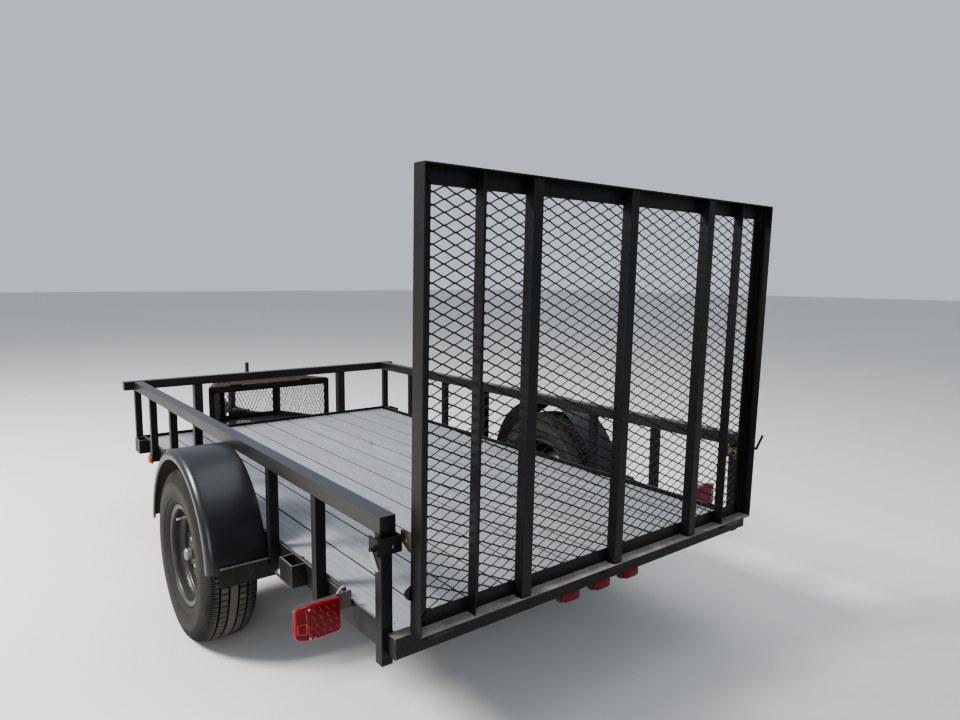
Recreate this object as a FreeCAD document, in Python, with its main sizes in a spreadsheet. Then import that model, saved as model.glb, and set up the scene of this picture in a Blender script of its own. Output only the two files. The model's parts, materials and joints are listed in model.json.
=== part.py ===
import FreeCAD, Part
import math
import os
import Sketcher
from FreeCAD import Matrix, Placement, Rotation, Vector

# Single-axle utility trailer with a mesh ramp gate.
# Millimetres. Forward (tongue) is -Y, the gate is at +Y, +Z is up and
# the trailer's left side is +X. The ground is Z = 0.

doc = FreeCAD.newDocument("utility_trailer")
sheet = doc.addObject("Spreadsheet::Sheet", "sizes")

SIZES = [
    # datum lines
    ("y_shift", 2062.95, "bed coordinates to model coordinates"),
    ("gate_bottom_z", 501.0, "underside of the gate above the ground"),
    # perimeter frame of the bed, rolled angle
    ("frame_half", 853.5, "outer face of a side rail from the centre"),
    ("frame_front", -3039.3, "outer face of the front member"),
    ("frame_rear", -44.6, "rear ends of the side rails"),
    ("frame_low", 412.0, "underside of the perimeter frame"),
    ("angle_tall", 82.0, "upright leg of the frame angle"),
    ("angle_wide", 50.0, "level leg of the frame angle"),
    ("angle_wall", 5.0, "thickness of the frame angle"),
    ("rear_face", -2.0, "rear face of the rear member"),
    ("rear_half", 870.0, "half length of the rear member"),
    ("rear_wide", 42.0, "flanges of the rear member channel"),
    ("rear_tall", 62.0, "height of the rear member channel"),
    ("rear_wall", 5.0, "thickness of the rear member channel"),
    ("deck_drop", 18.0, "deck boards below the top edge of the frame"),
    # crossmembers and boards
    ("cross_tall", 25.0, "height of a crossmember angle"),
    ("cross_wide", 38.0, "top leg of a crossmember angle"),
    ("cross_wall", 4.8, "thickness of a crossmember angle"),
    ("board_thick", 34.0, "deck board"),
    ("board_wide", 149.0, "deck board"),
    ("board_pitch", 153.2, "board to board"),
    ("board_count", 11, "boards across the bed"),
    # rails and posts
    ("rail_side", 50.8, "square tube of the top rail"),
    ("rail_wall", 3.2, "wall of the top rail tube"),
    ("rail_top", 832.0, "top of the rail above the ground"),
    ("rail_half", 889.0, "outer face of a side rail tube"),
    ("front_rail_half", 942.0, "half length of the front rail"),
    ("post_side", 35.5, "square tube of a post"),
    ("post_wall", 2.8, "wall of a post tube"),
    ("front_post_side", 50.8, "square tube of a front post"),
    ("post_low", 415.0, "foot of a side post"),
    ("rear_post_low", 399.0, "foot of a rear post"),
    # ramp gate
    ("gate_half", 824.5, "half width of the gate"),
    ("gate_tall", 1275.0, "height of the gate"),
    ("gate_leg", 50.8, "legs of the gate angle"),
    ("gate_wall", 4.8, "thickness of the gate angle"),
    ("gate_tube", 38.1, "square upright of the gate"),
    ("gate_tube_wall", 2.8, "wall of a square upright"),
    ("gate_rib", 38.1, "legs of the small upright angle"),
    ("gate_rib_wall", 3.2, "thickness of the small upright angle"),
    ("mesh_thick", 2.0, "expanded metal panel over its strands"),
    ("mesh_lap", 22.0, "lap of the mesh on the gate angle"),
    # gate hinge
    ("hinge_y", 22.0, "hinge line behind the gate face"),
    ("hinge_z", 487.0, "hinge line above the ground"),
    ("hinge_pin_r", 6.35, "hinge pin radius"),
    ("hinge_bore_r", 6.43, "bore of the gate sleeve"),
    ("hinge_sleeve_r", 11.0, "gate sleeve radius"),
    ("hinge_sleeve_long", 80.0, "gate sleeve length"),
    ("hinge_lug_thick", 8.0, "hinge lug plate"),
    ("gate_lean", 1.08, "degrees the shut gate leans back"),
    # axle and running gear
    ("axle_y", -1310.0, "axle line"),
    ("tyre_r", 353.0, "free radius of the tyre"),
    ("tyre_wide", 214.0, "section width of the tyre"),
    ("wheel_x", 994.0, "centre plane of the wheel"),
    ("rim_r", 207.0, "outer radius of the rim flange"),
    ("rim_wide", 172.0, "over the rim flanges"),
    ("axle_drop", 102.0, "axle tube below the spindle line"),
    ("axle_tube_r", 30.0, "axle tube radius"),
    ("axle_arm_x", 866.0, "inner face of a drop arm"),
    ("spindle_r", 19.0, "spindle radius"),
    ("spring_x", 825.5, "centre line of a leaf spring"),
    ("spring_wide", 44.5, "leaf width"),
    ("leaf_thick", 6.5, "leaf thickness"),
    ("spring_span", 640.0, "eye to eye"),
    # fenders
    ("fender_in", 890.0, "inner edge of a fender"),
    ("fender_out", 1108.0, "outer face of a fender"),
    ("fender_r", 411.0, "outer radius of a fender"),
    ("fender_z", 379.0, "centre height of a fender"),
    ("fender_y", -1300.0, "centre line of a fender"),
    ("fender_skin", 2.5, "fender sheet"),
    ("fender_round", 28.0, "rounded outer edge"),
    ("fender_lip", 10.0, "flat of the outer lip below the rounded edge"),
    # tongue, coupler, jack
    ("tongue_half", 496.0, "outer face of a tongue channel at the bed front"),
    ("tongue_angle", 25.0, "half angle of the tongue"),
    ("channel_tall", 76.0, "tongue channel"),
    ("channel_wide", 36.0, "tongue channel flange"),
    ("channel_wall", 5.0, "tongue channel thickness"),
    ("jack_y", -3948.0, "jack centre line"),
    ("jack_tube_r", 28.5, "outer tube of the jack"),
    ("jack_tube_wall", 3.4, "wall of the outer tube"),
    ("jack_leg_r", 25.02, "inner tube of the jack"),
    ("jack_low", 215.0, "lower end of the outer tube"),
    ("jack_high", 674.0, "upper end of the outer tube"),
    # basket on the tongue
    ("basket_half", 431.0, "half width of the basket at its rear"),
    ("basket_nose", 216.5, "half width of the basket at its front"),
    ("basket_rear", -3095.0, "rear face of the basket"),
    ("basket_front", -3555.0, "front face of the basket"),
    ("basket_tall", 327.0, "height of the basket"),
    ("basket_leg", 38.0, "basket angle"),
    ("basket_wall", 3.2, "basket angle thickness"),
    ("basket_mesh", 1.6, "basket mesh over its strands"),
]

for row, (name, value, note) in enumerate(SIZES, start=1):
    sheet.set("A%d" % row, name)
    sheet.set("B%d" % row, repr(value))
    sheet.setAlias("B%d" % row, name)
    sheet.set("C%d" % row, note)
doc.recompute()


def val(name):
    return float(sheet.get(name))


YS = val("y_shift")
UP = Vector(0, 0, 1)
X1 = Vector(1, 0, 0)
Y1 = Vector(0, 1, 0)


def yy(y):
    return y + YS


def axes(origin, xdir, ydir):
    """Placement whose local X and Y run along the two given directions."""
    x = Vector(xdir).normalize()
    y = Vector(ydir).normalize()
    z = x.cross(y)
    return Placement(Matrix(x.x, y.x, z.x, origin.x,
                            x.y, y.y, z.y, origin.y,
                            x.z, y.z, z.z, origin.z,
                            0, 0, 0, 1))


NODES = {}


def keep(node, obj):
    NODES.setdefault(node, []).append(obj)
    return obj


def tag(label):
    return label.replace(" ", "_")


# ---------------------------------------------------------------- helpers
def plane_of(body, role):
    for item in body.Origin.OriginFeatures:
        if item.Role == role:
            return item
    return None


def new_body(label):
    body = doc.addObject("PartDesign::Body", tag(label))
    body.Label = label
    return body


def new_sketch(body, name, role="XY_Plane"):
    sk = body.newObject("Sketcher::SketchObject", name)
    sk.AttachmentSupport = [(plane_of(body, role), "")]
    sk.MapMode = "FlatFace"
    return sk


def outline(sk, points, start=0):
    """Closed run of lines, level or upright ones held so."""
    total = len(points)
    for i in range(total):
        a = Vector(points[i][0], points[i][1], 0)
        b = Vector(points[(i + 1) % total][0], points[(i + 1) % total][1], 0)
        sk.addGeometry(Part.LineSegment(a, b), False)
    for i in range(total):
        sk.addConstraint(Sketcher.Constraint(
            "Coincident", start + i, 2, start + (i + 1) % total, 1))
        a, b = points[i], points[(i + 1) % total]
        if abs(a[1] - b[1]) < 1e-9:
            sk.addConstraint(Sketcher.Constraint("Horizontal", start + i))
        elif abs(a[0] - b[0]) < 1e-9:
            sk.addConstraint(Sketcher.Constraint("Vertical", start + i))


def dim(sk, kind, line, value, name, expr):
    at = sk.addConstraint(Sketcher.Constraint(kind, line, 1, line, 2, value))
    sk.renameConstraint(at, name)
    sk.setExpression("Constraints." + name, expr)


def pin(sk, line):
    sk.addConstraint(Sketcher.Constraint("Coincident", line, 1, -1, 1))


def pad(body, sk, name, expr, both=False):
    feat = body.newObject("PartDesign::Pad", name)
    feat.Profile = sk
    feat.setExpression("Length", expr)
    if both:
        feat.Midplane = True
    body.Tip = feat
    return feat


def angle_bar(label, wide, tall, wall, long_expr, where):
    """Angle section: level leg on local X, upright leg on local Y."""
    body = new_body(label)
    sk = new_sketch(body, tag(label) + "_section")
    w, h, t = val(wide), val(tall), val(wall)
    outline(sk, [(0, 0), (w, 0), (w, t), (t, t), (t, h), (0, h)])
    pin(sk, 0)
    dim(sk, "DistanceX", 0, w, "wide", "sizes." + wide)
    dim(sk, "DistanceY", 1, t, "low_wall", "sizes." + wall)
    dim(sk, "DistanceX", 4, -t, "side_wall", "-sizes." + wall)
    dim(sk, "DistanceY", 5, -h, "tall", "-sizes." + tall)
    pad(body, sk, tag(label) + "_run", long_expr)
    body.Placement = where
    return body


def channel_bar(label, wide, tall, wall, long_expr, where):
    """Channel section: web on local Y at X = 0, flanges towards local +X."""
    body = new_body(label)
    sk = new_sketch(body, tag(label) + "_section")
    w, h, t = val(wide), val(tall), val(wall)
    outline(sk, [(0, 0), (w, 0), (w, t), (t, t), (t, h - t), (w, h - t),
                 (w, h), (0, h)])
    pin(sk, 0)
    dim(sk, "DistanceX", 0, w, "wide", "sizes." + wide)
    dim(sk, "DistanceY", 1, t, "low_wall", "sizes." + wall)
    dim(sk, "DistanceX", 2, t - w, "web_wall",
        "sizes.%s - sizes.%s" % (wall, wide))
    dim(sk, "DistanceX", 4, w - t, "top_reach",
        "sizes.%s - sizes.%s" % (wide, wall))
    dim(sk, "DistanceY", 5, t, "top_wall", "sizes." + wall)
    dim(sk, "DistanceY", 7, -h, "tall", "-sizes." + tall)
    pad(body, sk, tag(label) + "_run", long_expr)
    body.Placement = where
    return body


def square_tube(label, side, wall, long_expr, where, blind=0.0):
    """Square tube along local Z, corner at the local origin."""
    body = new_body(label)
    sk = new_sketch(body, tag(label) + "_outer")
    s, t = val(side), val(wall)
    outline(sk, [(0, 0), (s, 0), (s, s), (0, s)])
    pin(sk, 0)
    dim(sk, "DistanceX", 0, s, "side", "sizes." + side)
    dim(sk, "DistanceY", 1, s, "tall", "sizes." + side)
    pad(body, sk, tag(label) + "_run", long_expr)
    doc.recompute()
    hole = new_sketch(body, tag(label) + "_bore")
    outline(hole, [(t, t), (s - t, t), (s - t, s - t), (t, s - t)])
    for kind, name in (("DistanceX", "in_x"), ("DistanceY", "in_y")):
        at = hole.addConstraint(Sketcher.Constraint(kind, -1, 1, 0, 1, t))
        hole.renameConstraint(at, name)
        hole.setExpression("Constraints." + name, "sizes." + wall)
    dim(hole, "DistanceX", 0, s - 2 * t, "bore",
        "sizes.%s - 2 * sizes.%s" % (side, wall))
    dim(hole, "DistanceY", 1, s - 2 * t, "bore_tall",
        "sizes.%s - 2 * sizes.%s" % (side, wall))
    cut = body.newObject("PartDesign::Pocket", tag(label) + "_hollow")
    cut.Profile = hole
    cut.Reversed = True
    if blind:
        cut.setExpression("Length", "%s - %s" % (long_expr, blind))
    else:
        cut.setExpression("Length", "%s + 1" % long_expr)
    body.Tip = cut
    body.Placement = where
    return body


def block(label, size, corner, rot=None, exprs=None):
    box = doc.addObject("Part::Box", tag(label))
    box.Label = label
    box.Length, box.Width, box.Height = size
    for prop, expr in (exprs or {}).items():
        box.setExpression(prop, expr)
    box.Placement = Placement(corner, rot or Rotation())
    return box


def rod(label, radius, length, base, direction, r_expr=None, l_expr=None):
    cyl = doc.addObject("Part::Cylinder", tag(label))
    cyl.Label = label
    cyl.Radius, cyl.Height = radius, length
    if r_expr:
        cyl.setExpression("Radius", r_expr)
    if l_expr:
        cyl.setExpression("Height", l_expr)
    cyl.Placement = Placement(base, Rotation(UP, Vector(direction)))
    return cyl


def cut(label, base, tools):
    tools = tools if isinstance(tools, (list, tuple)) else [tools]
    tool = tools[0]
    if len(tools) > 1:
        tool = doc.addObject("Part::MultiFuse", tag(label) + "_tools")
        tool.Shapes = list(tools)
    out = doc.addObject("Part::Cut", tag(label))
    out.Label = label
    out.Base, out.Tool = base, tool
    return out


def fuse(label, items):
    out = doc.addObject("Part::MultiFuse", tag(label))
    out.Label = label
    out.Shapes = list(items)
    out.Refine = True
    return out


def shaped(label, shape, where=None):
    """A piece whose form no primitive gives; sizes come from the sheet."""
    obj = doc.addObject("Part::Feature", tag(label))
    obj.Label = label
    obj.Shape = shape
    if where is not None:
        obj.Placement = where
    return obj


def mirrored(label, source):
    obj = doc.addObject("Part::Mirroring", tag(label))
    obj.Label = label
    obj.Source = source
    obj.Base = Vector(0, 0, 0)
    obj.Normal = Vector(1, 0, 0)
    return obj


def prism(points, thick, origin, xdir, ydir):
    """Solid from a closed run of (x, y) points, grown along local Z."""
    wire = Part.makePolygon([Vector(p[0], p[1], 0) for p in points]
                            + [Vector(points[0][0], points[0][1], 0)])
    solid = Part.Face(wire).extrude(Vector(0, 0, thick))
    solid.transformShape(axes(origin, xdir, ydir).Matrix)
    return solid


# ---------------------------------------------------------- perimeter frame
half = val("frame_half")
low = val("frame_low")
tall, wide, wall = val("angle_tall"), val("angle_wide"), val("angle_wall")
y0, y1 = yy(val("frame_front")), yy(val("frame_rear"))
deck_top = low + tall

side_long = "sizes.frame_rear - sizes.frame_front"
rail_raw = angle_bar("left side rail blank", "angle_wide", "angle_tall",
                     "angle_wall", side_long,
                     axes(Vector(half, y0, low), -X1, UP))
front_raw = angle_bar("front member blank", "angle_wide", "angle_tall",
                      "angle_wall", "2 * sizes.frame_half",
                      axes(Vector(-half, y0, low), Y1, UP))


def wedge(label, pts):
    return shaped(label, prism(pts, tall + 40, Vector(0, 0, low - 20), X1, Y1))


# mitred front corners
rail_wedge = wedge("left rail mitre", [(half + 20, y0 - 20), (half + 20, y0 - 20 + 0.001),
                                       (half - 120, y0 + 120), (half - 120, y0 - 20)])
frame_rail_left = cut("left side rail", rail_raw, rail_wedge)
keep("frame_rails", frame_rail_left)
keep("frame_rails", mirrored("right side rail", frame_rail_left))
front_tools = []
for sign, word in ((1, "left"), (-1, "right")):
    front_tools.append(wedge(
        "front member %s mitre" % word,
        [(sign * (half + 20), y0 - 20), (sign * (half - 120), y0 + 120),
         (sign * (half + 20), y0 + 120)]))
keep("front_member", cut("front member", front_raw, front_tools))

# rear member: channel, web to the rear, its top level with the frame
rear_low = deck_top - val("rear_tall")
rear_bar = channel_bar(
    "rear member", "rear_wide", "rear_tall", "rear_wall",
    "2 * sizes.rear_half",
    axes(Vector(val("rear_half"), yy(val("rear_face")), rear_low), -Y1, UP))
caps = [block("rear member end plate %s" % word,
              (5.0, val("rear_wide"), val("rear_tall")),
              Vector(x, yy(val("rear_face")) - val("rear_wide"), rear_low))
        for word, x in (("left", val("rear_half") - 3.0), ("right", -val("rear_half") - 2.0))]
keep("rear_member", fuse("closed rear member", [rear_bar] + caps))

# crossmembers, top leg under the boards
cross = val("cross_tall")
board_low = deck_top - val("deck_drop") - val("board_thick")
cross_rows = [
    # rear edge of the top leg, in bed coordinates
    -2992.0, -2560.0, -2130.0, -1700.0, -1290.0, -880.0, -470.0, -90.0,
]
for i, row in enumerate(cross_rows):
    keep("crossmembers", angle_bar(
        "crossmember %d" % (i + 1), "cross_wide", "cross_tall", "cross_wall",
        "2 * (sizes.frame_half - sizes.angle_wall)",
        axes(Vector(wall - half, yy(row), board_low), -Y1, -UP)))

# ------------------------------------------------------------- deck boards
count = int(val("board_count"))
board_y0 = y0 + wall + 2.0
board_y1 = y1 - 2.0
for i in range(count):
    mid = (i - (count - 1) / 2.0) * val("board_pitch")
    wood = block("deck board %d" % (i + 1),
                 (val("board_wide"), board_y1 - board_y0, val("board_thick")),
                 Vector(mid - val("board_wide") / 2, board_y0, board_low),
                 exprs={"Length": "sizes.board_wide",
                        "Height": "sizes.board_thick",
                        "Width": "%s - sizes.angle_wall - 4" % side_long})
    keep("deck_boards", wood)

# --------------------------------------------------------- rails and posts
rs, rt = val("rail_side"), val("rail_wall")
rz = val("rail_top") - rs
rail_y0 = y0
rail_left = square_tube(
    "left top rail", "rail_side", "rail_wall",
    "sizes.frame_rear - sizes.frame_front - 5.7",
    axes(Vector(val("rail_half"), rail_y0, rz), -X1, UP), blind=4.0)
keep("top_rails", rail_left)
keep("top_rails", mirrored("right top rail", rail_left))
keep("top_rail_front", square_tube(
    "front top rail", "rail_side", "rail_wall", "2 * sizes.front_rail_half",
    axes(Vector(-val("front_rail_half"), rail_y0 - rs, rz), Y1, UP), blind=4.0))

ps = val("post_side")
SIDE_POSTS = [
    # name, rear face in bed coordinates, foot size name
    ("front", -3016.0, "post_low"),
    ("second", -2640.0, "post_low"),
    ("third", -2212.5, "post_low"),
    ("fourth", -1776.0, "post_low"),
    ("fifth", -860.7, "post_low"),
    ("sixth", -464.4, "post_low"),
    ("rear", -44.6, "rear_post_low"),
]
for name, rear, foot in SIDE_POSTS:
    post = square_tube(
        "left %s post" % name, "post_side", "post_wall",
        "sizes.rail_top - sizes.rail_side - sizes.%s" % foot,
        Placement(Vector(val("rail_half") - ps, yy(rear) - ps, val(foot)),
                  Rotation()))
    keep("posts_left", post)
    keep("posts_right", mirrored("right %s post" % name, post))

FRONT_POSTS = [
    # name, centre in X
    ("left", 508.0),
    ("right", -508.0),
]
fp = val("front_post_side")
for name, mid in FRONT_POSTS:
    keep("posts_front", square_tube(
        "front %s post" % name, "front_post_side", "post_wall",
        "sizes.rail_top - sizes.rail_side - sizes.post_low",
        Placement(Vector(mid - fp / 2, y0 - fp, val("post_low")), Rotation())))

# ------------------------------------------------------------ stake pockets
POCKETS = [
    # name, centre in bed coordinates
    ("front", -2947.0),
    ("rear", -684.5),
]
pocket_long, pocket_deep, pocket_wall = 105.0, 50.0, 4.8
pocket_low, pocket_tall = low + 1.0, 80.0
for name, mid in POCKETS:
    body = block("left %s pocket body" % name,
                 (pocket_deep, pocket_long, pocket_tall),
                 Vector(half, yy(mid) - pocket_long / 2, pocket_low))
    bore = block("left %s pocket bore" % name,
                 (pocket_deep - pocket_wall, pocket_long - 2 * pocket_wall, 90.0),
                 Vector(half - 0.01, yy(mid) - pocket_long / 2 + pocket_wall,
                        low - 4.0))
    pocket = cut("left %s stake pocket" % name, body, bore)
    if name == "rear":
        brace = block("left rear pocket brace", (6.0, 56.0, 8.0),
                      Vector(half + pocket_deep - 6.0,
                             yy(mid) - pocket_long / 2 - 56.0, pocket_low))
        pocket = fuse("left braced rear pocket", [pocket, brace])
    keep("pockets_left", pocket)
    keep("pockets_right", mirrored("right %s stake pocket" % name, pocket))

# ------------------------------------------------------------------ fenders
fi, fo, fr = val("fender_in"), val("fender_out"), val("fender_r")
fs, fround, flip = val("fender_skin"), val("fender_round"), val("fender_lip")
fy, fz = yy(val("fender_y")), val("fender_z")


def fender_shape():
    # section in local coordinates: X outward, Y away from the axle
    c = math.cos(math.radians(45.0))
    outer_mid = Vector(fo - fround + fround * c, fr - fround + fround * c, 0)
    ri = fround - fs
    inner_mid = Vector(fo - fround + ri * c, fr - fround + ri * c, 0)
    p = [Vector(fi, fr, 0), Vector(fo - fround, fr, 0),
         Vector(fo, fr - fround, 0), Vector(fo, fr - fround - flip, 0),
         Vector(fo - fs, fr - fround - flip, 0), Vector(fo - fs, fr - fround, 0),
         Vector(fo - fround, fr - fs, 0), Vector(fi, fr - fs, 0)]
    edges = [Part.LineSegment(p[0], p[1]).toShape(),
             Part.Arc(p[1], outer_mid, p[2]).toShape(),
             Part.LineSegment(p[2], p[3]).toShape(),
             Part.LineSegment(p[3], p[4]).toShape(),
             Part.LineSegment(p[4], p[5]).toShape(),
             Part.Arc(p[5], inner_mid, p[6]).toShape(),
             Part.LineSegment(p[6], p[7]).toShape(),
             Part.LineSegment(p[7], p[0]).toShape()]
    face = Part.Face(Part.Wire(edges))
    # stand the section up on the rear end, then sweep it over the wheel
    end = 5.0
    face.rotate(Vector(0, 0, 0), X1, end)
    solid = face.revolve(Vector(0, 0, 0), X1, 180.0 - 2 * end)
    solid.translate(Vector(0, fy, fz))
    return solid


fender_left = shaped("left fender", fender_shape())
keep("fender_left", fender_left)
keep("fender_right", mirrored("right fender", fender_left))

# brackets under the two ends of the fender: the rear one is notched under
# the foot of a post, the front one is welded to the frame
bracket_rows = [
    # name, outer face of the web in bed coordinates, side of the fender,
    # inner end of the web above the notch
    ("rear", -886.0, -1, 889.4),
    ("front", -1714.0, 1, 853.5),
]
bk_top, bk_low = low + 26.0, low - 50.0
bk_out = fo - 40.0
for name, edge, turn, inner_x in bracket_rows:
    y_edge = yy(edge)
    y_web = y_edge - 4.0 if turn < 0 else y_edge
    y_shelf = y_edge - 4.0 if turn < 0 else y_edge - 10.0
    plate = block("left %s fender bracket web" % name,
                  (bk_out - inner_x, 4.0, bk_top - bk_low),
                  Vector(inner_x, y_web, bk_low))
    shelf = block("left %s fender bracket shelf" % name,
                  (bk_out - 889.4, 14.0, 4.0),
                  Vector(889.4, y_shelf, bk_top - 4.0))
    parts_ = [plate, shelf]
    if turn < 0:
        parts_.append(block("left rear fender bracket root",
                            (bk_out - half, 4.0, 48.0),
                            Vector(half, y_web, bk_low)))
    bracket = fuse("left %s fender bracket" % name, parts_)
    keep("fender_brackets", bracket)
    keep("fender_brackets", mirrored("right %s fender bracket" % name, bracket))

# -------------------------------------------------------------- tongue
tong = math.radians(val("tongue_angle"))
th, tw = val("channel_tall"), val("channel_wide")
tongue_back = val("frame_front") + 420.0
run = (val("tongue_half") + 420.0 * math.tan(tong)) / math.sin(tong)
forward = Vector(-math.sin(tong), -math.cos(tong), 0)
inward = Vector(-math.cos(tong), math.sin(tong), 0)
start = Vector(val("tongue_half") + 420.0 * math.tan(tong), yy(tongue_back), low - th)
# local X inward, local Y up: local Z runs back, so start from the nose end
nose = start + forward * (run - 46.0)
sheet.set("A%d" % (len(SIZES) + 1), "tongue_run")
sheet.set("B%d" % (len(SIZES) + 1), repr(run - 46.0))
sheet.setAlias("B%d" % (len(SIZES) + 1), "tongue_run")
doc.recompute()
channel_raw = channel_bar("left tongue blank", "channel_wide", "channel_tall",
                          "channel_wall", "sizes.tongue_run",
                          axes(nose, inward, UP))
nose_cut = block("left tongue nose cut", (400.0, 400.0, 200.0),
                 Vector(-400.0 + 3.0, yy(val("jack_y") - 273.0), low - th - 50.0))
tongue_left = cut("left tongue channel", channel_raw, nose_cut)
keep("tongue", tongue_left)
keep("tongue", mirrored("right tongue channel", tongue_left))

# coupler: a pressed head with a ball socket, on a plate over the channels
ball_y = yy(val("jack_y") - 212.0)
ball_r = 25.6
jack_line = yy(val("jack_y"))
plate_pts = [(-116.0, jack_line + 87.0), (116.0, jack_line + 87.0),
             (42.0, jack_line - 113.0), (42.0, jack_line - 173.0),
             (-42.0, jack_line - 173.0), (-42.0, jack_line - 113.0)]
coupler_plate = shaped("coupler plate", prism(plate_pts, 6.0, Vector(0, 0, low), X1, Y1))
jack_hole = rod("coupler jack hole", 31.0, 30.0, Vector(0, yy(val("jack_y")), low - 10), UP)
head = shaped("coupler head", Part.makeSphere(41.0, Vector(0, ball_y, low - 8.0)))
neck = block("coupler neck", (76.0, 70.0, 38.0), Vector(-38.0, ball_y, low - 32.0))
head_all = fuse("coupler head blank", [head, neck, coupler_plate])
socket = shaped("coupler socket", Part.makeSphere(ball_r, Vector(0, ball_y, low - 18.0)))
mouth = rod("coupler mouth", ball_r, 60.0, Vector(0, ball_y, low - 78.0), UP)
skirt = block("coupler skirt cut", (200.0, 200.0, 60.0), Vector(-100, ball_y - 100.0, low - 94.0))
coupler = cut("coupler", head_all, [jack_hole, socket, mouth, skirt])
keep("coupler", coupler)
lever = block("coupler lever", (18.0, 120.0, 8.0), Vector(-9.0, ball_y + 20.0, low + 44.0),
              )
lever_foot = block("coupler lever foot", (18.0, 14.0, 40.0), Vector(-9.0, ball_y + 48.0, low + 6.0))
keep("coupler_lever", fuse("coupler latch lever", [lever, lever_foot]))

# --------------------------------------------------------------------- jack
jr, jt = val("jack_tube_r"), val("jack_tube_wall")
jy = yy(val("jack_y"))
outer = rod("jack tube blank", jr, val("jack_high") - val("jack_low"),
            Vector(0, jy, val("jack_low")), UP, "sizes.jack_tube_r",
            "sizes.jack_high - sizes.jack_low")
bore = rod("jack tube bore", jr - jt, val("jack_high") - val("jack_low") - 60.0,
           Vector(0, jy, val("jack_low") - 1.0), UP,
           "sizes.jack_tube_r - sizes.jack_tube_wall")
flange = rod("jack flange blank", 66.0, 8.0, Vector(0, jy, low + 6.0), UP)
cap = rod("jack cap", jr + 4.0, 20.0, Vector(0, jy, val("jack_high") - 4.0), UP)
jack_body = cut("jack body", fuse("jack blank", [outer, flange, cap]), bore)
keep("jack_tube", jack_body)
crank_top = val("jack_high") + 16.0
crank_hub = rod("crank hub", 11.0, 16.0, Vector(0, jy, crank_top), UP)
crank_arm = block("crank arm", (142.0, 20.0, 6.0), Vector(-139.0, jy - 10.0, crank_top + 10.0))
crank_grip = rod("crank grip", 13.0, 84.0, Vector(-129.0, jy, crank_top + 16.0), UP)
keep("jack_crank", fuse("jack crank", [crank_hub, crank_arm, crank_grip]))
leg = rod("jack leg tube", val("jack_leg_r"), 430.0, Vector(0, jy, 8.0), UP, "sizes.jack_leg_r")
foot = block("jack foot", (130.0, 110.0, 8.0), Vector(-65.0, jy - 55.0, 0.0))
foot_rim = rod("jack foot collar", 34.0, 14.0, Vector(0, jy, 8.0), UP)
keep("jack_leg", fuse("jack leg", [leg, foot, foot_rim]))

# ------------------------------------------------------------------- basket
bh, bn = val("basket_half"), val("basket_nose")
by0, by1 = yy(val("basket_rear")), yy(val("basket_front"))
bl, bw, bt = val("basket_leg"), val("basket_wall"), val("basket_tall")
ring = [Vector(bh, by0, 0), Vector(bn, by1, 0), Vector(-bn, by1, 0), Vector(-bh, by0, 0)]


def inset(points, gap):
    """Polygon drawn in by gap on every side; the points run clockwise."""
    out = []
    total = len(points)
    for i in range(total):
        a, b, c = points[i - 1], points[i], points[(i + 1) % total]
        d1 = (b - a).normalize()
        d2 = (c - b).normalize()
        n1 = Vector(d1.y, -d1.x, 0)
        n2 = Vector(d2.y, -d2.x, 0)
        bis = (n1 + n2).normalize()
        out.append(b - bis * (gap / bis.dot(n1)) * -1)
    return out


def ring_solid(outer_pts, inner_pts, z0, thick):
    def face(pts):
        return Part.Face(Part.makePolygon([Vector(p.x, p.y, z0) for p in pts]
                                          + [Vector(pts[0].x, pts[0].y, z0)]))
    return face(outer_pts).cut(face(inner_pts)).extrude(Vector(0, 0, thick))


inner_a = inset(ring, bw)
inner_b = inset(ring, bl)
low_ring = ring_solid(ring, inner_b, low, bw).fuse(ring_solid(ring, inner_a, low, bl))
top_z = low + bt
top_ring = ring_solid(ring, inner_b, top_z - bw, bw).fuse(
    ring_solid(ring, inner_a, top_z - bl, bl))
posts = []
for i, corner in enumerate(ring):
    a, c = ring[i - 1], ring[(i + 1) % 4]
    to_a = (a - corner).normalize()
    to_c = (c - corner).normalize()
    inner = inner_a[i]
    pts = [corner, corner + to_a * 34.0, inner + to_a * 34.0, inner,
           inner + to_c * 34.0, corner + to_c * 34.0]
    wire = Part.makePolygon([Vector(p.x, p.y, low) for p in pts] + [Vector(corner.x, corner.y, low)])
    posts.append(Part.Face(wire).extrude(Vector(0, 0, bt)))
frame = low_ring.fuse([top_ring] + posts).removeSplitter()
keep("basket_frame", shaped("basket frame", frame))

# mesh walls and floor inside the angle frame
mesh_out = inset(ring, bw + 0.2)
mesh_in = inset(ring, bw + 0.2 + val("basket_mesh"))
walls = ring_solid(mesh_out, mesh_in, low + bw + 0.2, bt - 2 * bw - 0.4)
floor = Part.Face(Part.makePolygon(
    [Vector(p.x, p.y, low + bw) for p in mesh_in + [mesh_in[0]]])).extrude(
        Vector(0, 0, val("basket_mesh")))
keep("basket_mesh", shaped("basket mesh walls and floor", walls.fuse(floor).removeSplitter()))

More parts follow.
